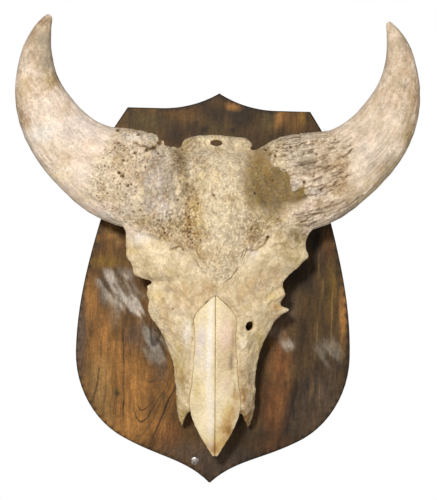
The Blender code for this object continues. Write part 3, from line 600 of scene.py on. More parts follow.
def relief(surface, settings):
    """The height of the crust, swellings, creases and pits, with the dirt and painted shade that lie in
    them.
    """
    x, z, horn, crust = surface.x, surface.z, surface.horn, surface.crust
    grain, worms = surface.grain, surface.worms()

    # Swellings, and the evenness of bare bone
    height = (1 - 0.5 * horn) * (0.9 * surface.coarse + 0.6 * surface.rough)
    height += (1 - horn) * (1 - crust) * (0.5 * surface.coarse + 0.7 * surface.rough + 0.2 * surface.fine)
    for cx, cz, wide, high, rise in SWELLS:
        height += rise * np.exp(-(((x - cx) / wide) ** 2) - ((z - cz) / high) ** 2)

    # The crust with its grains and winding grooves, the hollow, and the torn upper rims
    grains = settings.crust * crust * (1 - 0.7 * horn)
    height += grains * (0.9 * (0.55 - grain) + 0.5 * surface.rough)
    height += crust * settings.crust * (1.2 - 1.1 * worms * (0.35 + 0.65 * horn))
    height -= 1.2 * surface.hollow * smooth_step(55, 66, x)
    rim = blob(x, z, (-98, 190, 34, 14)) + blob(x, z, (-54, 181, 20, 8)) + blob(x, z, (118, 194, 40, 10))
    height += rim * 2.2 * noise(surface.points * (1, 0.4, 1), 5 * MM, 35, 2)

    # The lengthwise grooves of the horn cores
    grooved = horn * settings.groove * (1 - 0.6 * crust)
    fade = 1 - smooth_step(60, 230, surface.s / MM)
    ridges = 1 - 2 * np.abs(noise(surface.lay * (0.1, 1, 1), 4.2 * MM, 31, 2))
    height += grooved * (0.25 + 0.45 * fade) * ridges
    height += grooved * 0.9 * noise(surface.lay * (0.25, 1, 1), 14 * MM, 33, 2)

    # Dirt and painted shade between the grains and in the grooves, and painted shadow at the foot of the
    # crust, under its lip
    dirt_and_shade = crust * worms * (0.3 + 0.35 * horn) + 0.3 * crust * smooth_step(0.6, 0.9, grain)
    dirt_and_shade += 0.35 * horn * fade * smooth_step(0.1, 0.7, -ridges)
    specked = blob(x, z, (-30, 84, 14, 46)) + blob(x, z, (-64, 80, 32, 24)) + blob(x, z, (50, 80, 20, 18))
    dirt_and_shade += 0.5 * crust * specked * np.maximum(worms, smooth_step(0.55, 0.75, grain))
    # Painted shadow that the crust's lip casts on the bone below its lower edge
    lip_shadow = np.exp(-(((surface.crust_depth + 0.6) / 0.9) ** 2)) * (1 - horn) * (z < 90)
    dirt_and_shade += 0.6 * lip_shadow * smooth_step(0.05, 0.5, surface.broken) * np.where(x > 16, 1, 0.8)

    # Cracks, ridges and holes. The deepest cracks hardly fade along their length
    for corners, width, rise in CREASES:
        share = surface.crack(corners, width, 0.2 if rise < -2 else 1)
        height += rise * share
        # Narrow grooves are painted darker: dirt and painted shade in the cracks, and painted shadow
        # under the crust's lip where a groove runs along its lower edge
        if rise < 0 and width < 3:
            dirt_and_shade += min(0.8, -0.45 * rise) * share
    for cx, cz, radius, depth in HOLES:
        share = np.exp(-(((x - cx) ** 2 + (z - cz) ** 2) / radius**2) ** 1.5)
        height -= depth * share
        dirt_and_shade += 1.2 * share
    return height * MM, np.clip(dirt_and_shade, 0, 1)


# Stains and worn patches by colour, each laid over the ones before it: middle (x, z), half wide,
# half high and how strongly it covers. The cream patch at (62, -38) is painted light on the right cheek,
# which faces away from the key light
BONE_STAINS_AND_LIGHT = {
    "buff": (
        (196, 190, 60, 70, 0.4), (-200, 172, 24, 22, 0.3), (-123, 154, 22, 22, 0.55),
        (94, 66, 22, 12, 0.5), (-169, 114, 15, 8, 0.4), (227, 323, 9, 20, 0.45), (170, 123, 20, 10, 0.5),
        (28, 166, 10, 11, 0.4), (29, 114, 10, 20, 0.4), (17, 96, 10, 15, 0.3), (79, 185, 10, 6, 0.4),
        (-36, 7, 10, 15, 0.45), (17, 23, 8, 10, 0.5), (76, 37, 15, 10, 0.5), (40, -12, 15, 10, 0.4),
    ),
    "tan": (
        (118, 155, 16, 14, 0.45), (50, 6, 14, 14, 0.35), (-133, 130, 15, 10, 0.2),
        (-107, 146, 18, 18, 0.2), (-113, 89, 8, 4, 0.6), (150, 133, 20, 15, 0.65),
        (144, 109, 25, 10, 0.45), (149, 162, 18, 10, 0.3), (-226, 309, 11, 33, 0.55),
        (-232, 284, 11, 15, 0.35), (-237, 241, 13, 20, 0.3), (-193, 160, 10, 8, 0.4),
        (239, 296, 8, 20, 0.5), (248, 247, 9, 43, 0.55), (220, 247, 10, 15, 0.35), (37, 144, 8, 25, 0.45),
        (48, 159, 13, 20, 0.75), (-31, 92, 8, 30, 0.45), (-222, 312, 18, 50, 0.6), (92, 68, 16, 9, 0.6),
        (222, 300, 18, 50, 0.3), (-252, 236, 14, 30, 0.4), (-98, 62, 12, 10, 0.3), (-8, -2, 9, 14, 0.6),
        (14, 2, 8, 12, 0.4), (35, 81, 11, 15, 0.45), (43, 62, 15, 8, 0.5), (-32, 44, 8, 5, 0.55),
        (-17, -6, 6, 4, 0.5), (-84, -5, 8, 5, 0.5), (24, 38, 8, 15, 0.55), (80, 12, 10, 10, 0.4),
        (-35, -79, 9, 4, 0.6), (48, -156, 6, 13, 0.8),
    ),
    "grey": (
        (-117, 96, 18, 11, 0.4), (108, 167, 23, 18, 0.65), (94, 192, 15, 8, 0.35),
        (-72, 149, 25, 30, 0.9), (-66, 120, 22, 28, 0.9), (-223, 300, 16, 42, 0.9),
        (224, 298, 14, 40, 0.3), (-73, 81, 18, 10, 0.5), (-23, 165, 10, 13, 0.55), (-10, 172, 9, 5, 0.35),
        (-56, -3, 11, 5, 0.5), (61, 6, 10, 11, 0.35), (15, -12, 8, 6, 0.45), (2, -4, 5, 6, 0.6),
        (52, -112, 5, 9, 0.7),
    ),
    "olive_buff": (
        (-128, 113, 15, 10, 0.45), (-249, 255, 8, 18, 0.5), (-221, 255, 15, 8, 0.5),
        (-159, 110, 15, 6, 0.3), (227, 272, 13, 20, 0.4), (242, 196, 10, 31, 0.5),
        (228, 155, 15, 23, 0.5), (-51, 108, 9, 10, 0.5), (-87, 84, 10, 8, 0.6), (-55, 80, 19, 11, 0.7),
        (-37, 73, 9, 13, 0.6), (-44, 183, 12, 9, 1), (94, 70, 16, 12, 0.8), (42, 124, 12, 26, 0.8),
        (53, 79, 13, 10, 0.8), (75, 90, 20, 11, 0.7), (-41, 145, 7, 30, 0.7), (106, 83, 10, 10, 0.6),
        (-86, 33, 11, 11, 0.8), (-82, 18, 11, 8, 0.6), (-55, 17, 9, 9, 0.6), (92, 52, 18, 10, 0.8),
        (20, -19, 8, 8, 0.5), (61, -37, 11, 13, 0.35), (54, -62, 8, 8, 0.3), (-38, -126, 6, 18, 0.7),
        (43, -103, 9, 18, 0.35),
    ),
    "olive": (
        (-251, 219, 8, 13, 0.4), (92, 66, 15, 10, 0.4), (-53, 168, 9, 14, 0.4), (-42, 128, 6, 20, 0.3),
        (191, 108, 25, 11, 0.5), (170, 98, 25, 10, 0.45), (-47, 158, 10, 16, 0.5), (-38, 123, 6, 15, 0.6),
        (-31, 184, 8, 9, 0.4), (96, 75, 20, 10, 0.65), (33, -40, 5, 15, 0.35),
    ),
    "yellow": (
        (-216, 264, 8, 10, 0.35), (205, 126, 20, 18, 0.45), (-18, 140, 11, 5, 0.7),
        (-18, 130, 13, 6, 0.4), (-26, 103, 9, 16, 0.7), (-22, 82, 12, 32, 0.7), (-20, 46, 8, 12, 0.5),
        (62, -60, 10, 40, 0.4), (107, 128, 6, 6, 0.8), (-108, 46, 10, 6, 0.6), (-76, -11, 13, 8, 0.7),
        (107, 37, 10, 10, 0.5), (73, -8, 11, 6, 0.7), (62, -68, 6, 18, 0.6), (-42, -74, 5, 8, 0.6),
        (-41, -98, 9, 19, 0.75), (-45, -144, 5, 13, 0.6), (-37, -167, 8, 16, 0.95), (47, -79, 6, 6, 0.4),
        (57, -88, 5, 18, 0.3),
    ),
    "ochre": (
        (-245, 204, 6, 8, 0.35), (-31, 62, 8, 15, 0.45), (-34, 84, 6, 12, 0.4), (81, -22, 8, 4, 0.6),
        (-27, -143, 4, 9, 0.8), (44, -142, 8, 18, 0.95), (47, -165, 7, 12, 0.9),
    ),
    "rust": (
        (46, -150, 14, 22, 0.9), (50, -172, 14, 16, 0.7), (-40, -168, 8, 14, 0.2), (-226, 338, 9, 8, 0.5),
        (-246, 214, 8, 12, 0.4), (-208, 262, 8, 8, 0.4), (-32, 60, 4, 9, 0.35),
    ),
    "pink": (
        (-148, 101, 20, 9, 0.7), (116, 107, 10, 8, 0.6), (-156, 173, 18, 11, 0.5),
        (178, 195, 25, 13, 0.4), (90, 97, 13, 6, 0.4), (-107, 74, 9, 9, 0.7), (-89, 73, 10, 6, 0.5),
        (-46, -24, 13, 8, 0.4),
    ),
    "cream": (
        (-106, 193, 25, 9, 0.5), (-137, 157, 18, 10, 0.5), (-128, 136, 18, 11, 0.35),
        (-149, 122, 13, 11, 0.6), (-200, 140, 18, 13, 0.5), (6, 138, 28, 43, 0.6), (0, 78, 18, 33, 0.45),
        (-31, 60, 10, 18, 0.45), (-66, 46, 10, 8, 0.5), (-21, 24, 14, 10, 0.5), (52, 23, 10, 10, 0.35),
        # The patch at (62, -38) is painted light on the right cheek, which faces away from the key light
        (-70, -28, 10, 6, 0.7), (62, -38, 12, 14, 0.55), (56, -92, 8, 22, 0.4), (-52, -42, 11, 10, 0.6),
        (38, -69, 5, 11, 0.9),
    ),
    "lilac": (
        (128, 127, 10, 6, 0.6), (-186, 201, 31, 18, 0.55), (196, 180, 25, 20, 0.35),
        (-83, 136, 13, 13, 0.75), (-66, 104, 16, 16, 0.7), (-86, 104, 11, 11, 0.5),
        (-76, 160, 14, 16, 0.4), (50, 47, 8, 5, 0.8),
    ),
    "white": (
        (-135, 92, 13, 5, 0.6), (-104, 190, 22, 6, 0.6), (-225, 195, 17, 11, 0.9), (-35, 156, 4, 11, 0.4),
        (97, 137, 6, 10, 1), (-98, 64, 16, 11, 0.8), (-33, -55, 5, 16, 1),
    ),
}


def stain(tint, x, z, ragged, stains, settings, cover=1.0):
    """Lays the patches over the colours, each ragged at its edge, as densely as the cover says."""
    cover = np.broadcast_to(cover, x.shape)
    for name, places in stains.items():
        for cx, cz, wide, high, strength in places:
            near = np.flatnonzero((np.abs(x - cx) < 2.6 * wide) & (np.abs(z - cz) < 2.6 * high))
            away = np.hypot((x[near] - cx) / wide, (z[near] - cz) / high) + ragged[near]
            share = strength * cover[near] * (1 - smooth_step(0.1, 1.6, away))
            tint[near] = blended(tint[near], share, getattr(settings, name))


def horn_colours(surface, settings, far):
    """Bare bone with the horn cores' streaks and specks; far is 1 out on a smooth horn core."""
    lay, s = surface.lay, surface.s / MM
    colour = blended(filled(settings.bone, len(lay)), surface.horn * surface.crust, settings.horn_base)
    colour = blended(colour, far, settings.horn_tip)
    streak = noise(lay * (0.3, 1, 1), 8 * MM, 43, 4)
    colour = blended(colour, 0.45 * far * smooth_step(0.0, 0.5, streak), settings.horn_streak)
    colour = blended(colour, 0.4 * far * smooth_step(0.1, 0.6, -streak), settings.pale_grey)
    blotch = smooth_step(0.12, 0.5, noise(surface.points, 20 * MM, 47, 3))
    colour = blended(colour, 0.25 * far * blotch, settings.tan)
    across = (lay[:, 2] - HORN_ROOT[1]) / np.interp(s, HORN_STATIONS, HORN_BREADTHS) / MM
    outer = far * smooth_step(0.45, 0.95, -across) * smooth_step(30, 80, s)
    specks = smooth_step(0.05, 0.4, noise(lay * (0.6, 1, 1), 4 * MM, 59, 3) + 0.3 * surface.coarse)
    colour = blended(colour, 0.55 * outer * specks, settings.olive_buff)
    specks = smooth_step(0.3, 0.6, noise(lay, 3 * MM, 61, 2))
    return blended(colour, 0.5 * outer * specks, settings.ochre)


def hollow_colours(surface, settings, drawn):
    """The olive colours of the smooth hollow, darkest low down."""
    colour = filled(settings.olive, len(drawn))
    pale = smooth_step(-0.6, 0.8, surface.coarse + drawn + 0.8 * surface.fine)
    colour = blended(colour, pale, settings.hollow_light)
    low = smooth_step(-30, 30, surface.x - surface.z + 80 + 20 * surface.rough)
    return blended(colour, 0.2 * (1 - low) * smooth_step(-0.4, 0.4, drawn), settings.tan)


def bone_colours(surface, settings, dirt_and_shade):
    """The bones' colour at every point: bone under its stains and painted light, with dirt and painted
    shade in the hollows.
    """
    rough, fine, coarse, points = surface.rough, surface.fine, surface.coarse, surface.points
    skull, far = 1 - surface.horn, surface.horn * (1 - surface.crust)
    colour = horn_colours(surface, settings, far)
    yellowed = smooth_step(0.0, 0.5, noise(points, 26 * MM, 49, 3))
    colour = blended(colour, (0.45 + 0.25 * (surface.z < 20)) * skull * yellowed, settings.buff)
    greyed = smooth_step(0.1, 0.5, noise(points, 15 * MM, 53, 3))
    colour = blended(colour, 0.4 * skull * greyed, settings.grey)
    ragged = np.clip(0.55 * rough + 0.25 * fine + 0.3 * coarse, -0.35, 0.35)
    stain(colour, surface.x, surface.z, ragged, BONE_STAINS_AND_LIGHT, settings)

    # The crust's pale lip and the darker bone behind it
    lip = np.exp(-(((surface.crust_depth - 2) / 1.6) ** 2)) * skull * (surface.z < 110)
    colour = blended(colour, 0.45 * lip, settings.cream)
    edge = np.exp(-(((surface.crust_depth - 8) / 6) ** 2)) * skull * (surface.z < 90) * (surface.x < -10)
    colour = shaded(colour, 0.6 * edge, WARM_SHADE)
    drawn = noise(points * (1, 1, 0.35), 3.2 * MM, 55, 3)
    colour = blended(colour, 0.92 * surface.hollow, hollow_colours(surface, settings, drawn))

    # Patches, rubbed grains and darker furrows
    patchy = noise(points * (1, 1, 0.7), 16 * MM, 57, 5) * (1 - 0.7 * surface.hollow) * (1 - 0.4 * far)
    colour = shaded(colour, 0.6 * smooth_step(0.0, 0.5, patchy), WARM_SHADE)
    colour = blended(colour, 0.4 * smooth_step(0.0, 0.5, -patchy) * skull, settings.cream)
    rubbed = smooth_step(-0.4, -0.15, -surface.grain)
    colour = blended(colour, 0.4 * surface.crust * rubbed, settings.white)
    furrow = blob(surface.x, surface.z, (-28, 84, 13, 44), 0.5 * rough)
    furrow += 0.7 * blob(surface.x, surface.z, (-100, 160, 40, 34)) + surface.hollow
    colour = shaded(colour, 0.8 * furrow * smooth_step(0.0, 0.5, drawn + 0.4 * fine), WARM_SHADE)
    face = skull * (1 - surface.crust) * (1 - surface.hollow)
    mottle = noise(points * (1, 1, 0.8), 4.5 * MM, 65, 3)
    colour = blended(colour, 0.45 * face * smooth_step(0.1, 0.45, mottle), settings.olive_buff)
    colour = blended(colour, 0.3 * face * smooth_step(0.1, 0.45, -mottle), settings.cream)
    thin = noise(surface.lay * (0.2, 1, 1), 2.4 * MM, 45, 2)
    shade = 1 + 0.2 * fine + 0.14 * rough + 0.2 * far * thin + 0.2 * surface.crust * fine
    return shaded(colour * shade[:, None], dirt_and_shade, DIRT_AND_SHADOW_TONE)


def shape_bones(mesh, settings):
    """Moves the bones' points by their relief and stores what the materials read."""
    points, normals = points_of(mesh), normals_of(mesh)
    surface = BoneSurface(points)
    height, dirt_and_shade = relief(surface, settings)
    front = smooth_step(-0.35, 0.25, -normals[:, 1])
    open_side = smooth_step(0.5 * MM, 4 * MM, BACK_Y - points[:, 1])
    paint(mesh, "tint", np.clip(bone_colours(surface, settings, dirt_and_shade * front), 0, 1))
    paint(mesh, "grit", np.clip(surface.crust + 0.25, 0, 1))
    paint(mesh, "lay", blended(points, surface.horn, surface.lay))
    paint(mesh, "known", np.ones(len(points)))
    moved = points + normals * (height * open_side * (0.25 + 0.75 * front))[:, None]
    moved[:, 1] = np.minimum(moved[:, 1], BACK_Y)
    low, high = np.array(CAD_BOX[0]), np.array(CAD_BOX[1])
    move_points(mesh, np.clip(moved, low + BOX_MARGIN, high - BOX_MARGIN))


def oval_peg(middle, half, turn):
    """An oval peg that stands out of the wall, to cut a hole."""
    mesh = bmesh.new()
    bmesh.ops.create_cone(mesh, cap_ends=True, segments=40, radius1=1, radius2=1, depth=2)
    upright = Matrix.Rotation(math.pi / 2, 4, "X") @ Matrix.Rotation(math.radians(turn), 4, "Z")
    place = Matrix.Translation((middle[0] * MM, BACK_Y - middle[1] * MM, middle[2] * MM))
    sized = Matrix.Diagonal((half[0] * MM, half[1] * MM, half[2] * MM, 1))
    bmesh.ops.transform(mesh, matrix=place @ upright @ sized, verts=mesh.verts)
    return finished(mesh, "peg")


def block(corners):
    """A closed block with this outline (x, z) in millimetres, through the skull's whole depth."""
    mesh = bmesh.new()
    front, back = [[mesh.verts.new((x * MM, y, z * MM)) for x, z in corners]
                   for y in (CUT_FRONT, CUT_BACK)]
    for i in range(len(corners)):
        mesh.faces.new((front[i - 1], front[i], back[i], back[i - 1]))
    mesh.faces.new(front[::-1])
    mesh.faces.new(back)
    bmesh.ops.recalc_face_normals(mesh, faces=mesh.faces)
    return finished(mesh, "block")


def suture_blade(corners, side, wander, seed):
    """A thin, closed, zigzag blade that parts the bones along a suture."""
    path = []
    for (x0, z0), (x1, z1) in zip(corners, corners[1:]):
        steps = max(1, round(math.hypot(x1 - x0, z1 - z0) / ZIGZAG_STEP))
        path += [(x0 + (x1 - x0) * i / steps, z0 + (z1 - z0) * i / steps) for i in range(steps)]
    path = np.array([*path, corners[-1]]) * MM
    apart = np.full(len(path), side * 0.05)  # gives the two sides zigzags of their own
    flat = np.stack([path[:, 0], apart, path[:, 1]], axis=1)
    run = np.gradient(path, axis=0)
    run /= np.linalg.norm(run, axis=1)[:, None]
    path += np.stack([-run[:, 1], run[:, 0]], axis=1) * (wander * noise(flat, 3.6 * MM, seed))[:, None]
    mesh = bmesh.new()
    rows = []
    for (x, z), (run_x, run_z) in zip(path, run):
        row = []
        for off, y in ((1, CUT_FRONT), (-1, CUT_FRONT), (-1, CUT_BACK), (1, CUT_BACK)):
            px, pz = x - run_z * off * HALF_CUT, z + run_x * off * HALF_CUT
            row.append(mesh.verts.new((SKULL_X + SKULL_LEAN * (POLL_Z - pz) + side * px, y, pz)))
        rows.append(row)
    for low, high in zip(rows, rows[1:]):
        for i in range(4):
            mesh.faces.new((low[i], low[(i + 1) % 4], high[(i + 1) % 4], high[i]))
    mesh.faces.new(rows[0][::-1])
    mesh.faces.new(rows[-1])
    bmesh.ops.recalc_face_normals(mesh, faces=mesh.faces)
    return finished(mesh, "blade")


def bone_name(obj):
    """The node that a parted piece of the bones stands for, by where it lies."""
    points = points_of(obj.data)
    low, high = points.min(axis=0), points.max(axis=0)
    side = "left" if (low[0] + high[0]) / 2 > SKULL_X + 10 * MM else "right"
    if high[2] > POLL_Z + 60 * MM:
        return f"horn_core_{side}"
    if low[2] > POLL_Z - 6 * MM:
        return "occipital_crest"
    if high[2] > POLL_Z - 12 * MM:
        return "cranium"
    return f"maxilla_{side}" if low[2] < -150 * MM else f"lacrimal_{side}"


def named_parts(whole):
    """The largest separate surface for each bone; specks left over from the cuts are removed."""
    largest = {}
    for part in loose_parts(whole):
        name = bone_name(part)
        kept = largest.get(name)
        if kept is None or len(part.data.vertices) > len(kept.data.vertices):
            largest[name], part = part, kept
        if part is not None:
            bpy.data.objects.remove(part)
    few = [name for name in BONE_NODES
           if name not in largest or len(largest[name].data.vertices) < FEWEST_POINTS]
    if few:
        raise RuntimeError(f"not parted from their neighbours: {few}")
    return dict(sorted(largest.items()))


def hue(name, meaning, value):
    """A colour setting."""
    return FloatVectorProperty(name=name, description=meaning, subtype="COLOR", default=value)


class BoneSettings(bpy.types.PropertyGroup):
    """Mesh fineness, relief and colours of the bones and horn cores."""

    voxel: FloatProperty(
        name="Point spacing", description="Distance between points of the bones' mesh",
        default=1.14 * MM, min=0.5 * MM, max=5 * MM, subtype="DISTANCE", unit="LENGTH")
    crust: FloatProperty(
        name="Crust", description="Height of the crust's grains, as a factor",
        default=1.0, min=0, max=3, subtype="FACTOR")
    groove: FloatProperty(
        name="Grooves", description="Depth of the horn cores' grooves, as a factor",
        default=1.0, min=0, max=3, subtype="FACTOR")
    bone: hue("Bone", "Clean, dry bone", (0.74, 0.585, 0.365))
    # Also the painted highlight along the nasal bones' ridge
    white: hue("White", "Bleached bone", (0.86, 0.78, 0.68))
    # Also laid as painted light on the right cheek
    cream: hue("Cream", "Palest, rubbed bone", (0.86, 0.72, 0.50))
    buff: hue("Buff", "Yellowed bone", (0.62, 0.48, 0.28))
    yellow: hue("Yellow", "Yellow stain", (0.64, 0.46, 0.17))
    ochre: hue("Ochre", "Rusty stain", (0.50, 0.27, 0.08))
    rust: hue("Rust", "Darkest brown stain", (0.21, 0.098, 0.016))
    nasal: hue("Nasal bone", "Smooth bone of the nose", (0.81, 0.67, 0.42))
    olive: hue("Olive", "Olive-brown stain", (0.15, 0.092, 0.03))
    hollow_light: hue("Hollow", "Lighter olive of the hollow", (0.26, 0.172, 0.042))
    olive_buff: hue("Olive buff", "Greenish bone", (0.48, 0.35, 0.165))
    # Also painted shade on the right nasal bone's flank
    tan: hue("Tan", "Brown stain", (0.50, 0.33, 0.16))
    grey: hue("Grey", "Weathered crust", (0.42, 0.34, 0.245))
    pale_grey: hue("Pale grey", "Bleached crust", (0.70, 0.60, 0.50))
    pink: hue("Pink", "Rosy bone near the brow", (0.84, 0.64, 0.50))
    lilac: hue("Lilac", "Cool grey bloom", (0.70, 0.60, 0.53))
    horn_base: hue("Horn root", "Pitted root of the horn cores", (0.74, 0.60, 0.44))
    horn_tip: hue("Horn", "Smooth outer part of the horn cores", (0.78, 0.64, 0.52))
    horn_streak: hue("Horn streaks", "Brown streaks along the horn cores", (0.60, 0.45, 0.29))
    pit: hue("Pits", "What the dirt in pores and pits leaves of the light", (0.22, 0.14, 0.075))


class WoodSettings(bpy.types.PropertyGroup):
    """Mesh fineness and colours of the plaque."""

    spacing: FloatProperty(
        name="Point spacing", description="Distance between points of the plaque's face",
        default=1.7 * MM, min=0.5 * MM, max=20 * MM, subtype="DISTANCE", unit="LENGTH")
    # Also laid over the right half as painted shade, away from the key light
    dark: hue("Dark wood", "Oiled wood in the middle and on the right", (0.066, 0.036, 0.0115))
    # Also laid as painted light that makes the skull's shadow beside the muzzle paler
    brown: hue("Brown wood", "Plain worn wood", (0.135, 0.063, 0.0145))
    orange: hue("Orange wood", "Bare, warm wood", (0.335, 0.150, 0.036))
    tan: hue("Tan wood", "Dry, yellowish wood", (0.31, 0.178, 0.058))
    olive: hue("Olive wood", "Yellow-green varnish", (0.195, 0.107, 0.015))
    red: hue("Red wood", "Reddish varnish", (0.165, 0.062, 0.018))
    plum: hue("Plum wood", "Greyed, purplish wood", (0.092, 0.062, 0.045))
    green: hue("Green wood", "Green-grey cast near the top", (0.092, 0.061, 0.018))
    # Also laid as painted shadow beside the skull and in the notch by the crest, and as painted shade
    # along the plaque's edge
    black: hue("Black", "Stained, almost black wood", (0.018, 0.011, 0.006))
    worn: hue("Worn", "Grey rubbed patches", (0.27, 0.215, 0.15))
    smear: hue("Smears", "Whitish scratches in the rubbed patches", (0.62, 0.54, 0.45))


class StageSettings(bpy.types.PropertyGroup):
    """Camera and light."""

    distance: FloatProperty(
        name="Camera distance", description="From the wall to the camera", default=2.6,
        subtype="DISTANCE", unit="LENGTH")
    frame_high: FloatProperty(
        name="Frame height", description="Height of the picture at the horn cores", default=0.64,
        subtype="DISTANCE", unit="LENGTH")
    roll: FloatProperty(
        name="Camera roll", description="Turn of the camera about its view", default=math.radians(1.45),
        subtype="ANGLE", unit="ROTATION")
    key_power: FloatProperty(
        name="Key light", description="Strength of the light in front, high on the left", default=54,
        subtype="POWER", unit="POWER")
    fill_power: FloatProperty(
        name="Fill light", description="Strength of the broad light from the right", default=9,
        subtype="POWER", unit="POWER")
    sky: FloatProperty(
        name="Room light", description="Strength of the light from all round", default=0.24, min=0)


def new_group(name, inputs, outputs):
    """An empty shader group. An input starts at a number, or at None for a place; outputs are numbers."""
    group = bpy.data.node_groups.new(name, "ShaderNodeTree")
    for label, value in inputs.items():
        kind = "NodeSocketVector" if value is None else "NodeSocketFloat"
        socket = group.interface.new_socket(label, in_out="INPUT", socket_type=kind)
        if value is not None:
            socket.default_value = value
    for label in outputs:
        group.interface.new_socket(label, in_out="OUTPUT", socket_type="NodeSocketFloat")
    return group, group.nodes.new("NodeGroupInput").outputs, group.nodes.new("NodeGroupOutput").inputs


def node(tree, kind, inputs=None, **settings):
    """A shader node with its settings; an input takes a value, or another node's output."""
    made = tree.nodes.new(f"ShaderNode{kind}")
    for key, value in settings.items():
        setattr(made, key, value)
    for key, value in (inputs or {}).items():
        if isinstance(value, bpy.types.NodeSocket):
            tree.links.new(value, made.inputs[key])
        elif isinstance(value, tuple) and made.inputs[key].type == "RGBA":
            made.inputs[key].default_value = (*value, 1)
        else:
            made.inputs[key].default_value = value
    return made


def ramp(tree, source, low, high, to_low=0.0, to_high=1.0):
    """The source mapped from one range to another, held at its ends."""
    values = {"Value": source, "From Min": low, "From Max": high, "To Min": to_low, "To Max": to_high}
    return node(tree, "MapRange", values).outputs["Result"]


def maths(tree, operation, first, second=0.0):
    """Arithmetic on two numbers."""
    return node(tree, "Math", {0: first, 1: second}, operation=operation).outputs["Value"]


def product(tree, first, second):
    """Two numbers multiplied."""
    return maths(tree, "MULTIPLY", first, second)


def vector(tree, operation, first, second=(0, 0, 0), output="Vector"):
    """Arithmetic on two vectors."""
    return node(tree, "VectorMath", {0: first, 1: second}, operation=operation).outputs[output]


def cloud(tree, place, scale, detail, roughness=0.5, output="Fac"):
    """A noise texture at a place."""
    values = {"Vector": place, "Scale": scale, "Detail": detail, "Roughness": roughness}
    return node(tree, "TexNoise", values).outputs[output]


def mix_colour(tree, share, first, second, blend="MIX"):
    """Two colours mixed by a share."""
    return node(tree, "Mix", {"Factor": share, "A": first, "B": second},
                data_type="RGBA", blend_type=blend).outputs["Result"]


def pores_group():
    """Scattered pits, by how much dirt lies in them."""
    group, into, out = new_group(
        "Pores", {"Place": None, "Scale": 220.0, "Size": 0.3, "Amount": 1.0}, ["Dirt"])
    drift = cloud(group, into["Place"], 160.0, 2.0, output="Color")
    place = vector(group, "ADD", into["Place"], stretched(group, drift, (0.0024, 0.0024, 0.0024)))
    cell = node(group, "TexVoronoi", {"Vector": place, "Scale": into["Scale"]}).outputs
    pick = node(group, "SeparateColor", {"Color": cell["Color"]}).outputs
    size = product(group, into["Size"], ramp(group, pick["Red"], 0, 1, 0.4, 1.5))
    pit = ramp(group, cell["Distance"], product(group, size, 0.45), size, 1.0, 0.0)
    kept = product(group, pit, ramp(group, pick["Green"], 0.25, 0.4))
    group.links.new(product(group, kept, into["Amount"]), out["Dirt"])
    return group


def grooves_group():
    """Short, winding, thin grooves, by how much dirt lies in them."""
    group, into, out = new_group(
        "Grooves", {"Place": None, "Scale": 260.0, "Width": 0.06, "Amount": 1.0}, ["Dirt"])
    wavy = cloud(group, into["Place"], into["Scale"], 2.0)
    away = maths(group, "ABSOLUTE", maths(group, "SUBTRACT", wavy, 0.5))
    line = ramp(group, away, 0.0, into["Width"], 1.0, 0.0)
    gaps = ramp(group, cloud(group, into["Place"], 150.0, 1.0), 0.45, 0.6)
    broken = product(group, line, gaps)
    group.links.new(product(group, broken, into["Amount"]), out["Dirt"])
    return group


def grain_group():
    """Fine grain of dry bone: a mottle of light and dark, and its relief."""
    group, into, out = new_group(
        "Bone Grain", {"Place": None, "Scale": 300.0, "Contrast": 0.25}, ["Shade", "Height"])
    fine = cloud(group, into["Place"], into["Scale"], 5.0, 0.65)
    broad = cloud(group, into["Place"], 38.0, 4.0, 0.6)
    both = maths(group, "ADD", product(group, fine, 0.65), product(group, broad, 0.35))
    shade = product(group, maths(group, "SUBTRACT", both, 0.5), into["Contrast"])
    group.links.new(maths(group, "ADD", shade, 1.0), out["Shade"])
    group.links.new(fine, out["Height"])
    return group


SHARED = {}


def shared(tree, name, place, scale, **inputs):
    """The outputs of a shared shader group in a material. Each group is built once."""
    if not SHARED:
        SHARED.update(pores=pores_group(), grooves=grooves_group(), grain=grain_group())
    values = {"Place": place, "Scale": scale, **inputs}
    return node(tree, "Group", values, node_tree=SHARED[name]).outputs


def new_material(name, roughness, metallic=0.0):
    """A material with its Principled shader, cleared of everything else."""
    made = bpy.data.materials.new(name)
    made.use_nodes = True
    shader = made.node_tree.nodes["Principled BSDF"]
    shader.inputs["Roughness"].default_value = roughness
    shader.inputs["Metallic"].default_value = metallic
    return made, made.node_tree, shader


def finish_shader(tree, shader, colour, height, strength, depth, specular):
    """Gives a material its colour, its fine relief and its sheen."""
    bump = node(tree, "Bump", {"Strength": strength, "Distance": depth, "Height": height})
    tree.links.new(colour, shader.inputs["Base Color"])
    tree.links.new(bump.outputs["Normal"], shader.inputs["Normal"])
    shader.inputs["Specular IOR Level"].default_value = specular


def attribute(tree, name, output="Fac"):
    """What the mesh stores for each point under this name."""
    return node(tree, "Attribute", attribute_name=name).outputs[output]


def stretched(tree, place, factors):
    """The place scaled unevenly, so that what is laid over it is drawn out."""
    return vector(tree, "MULTIPLY", place, factors)


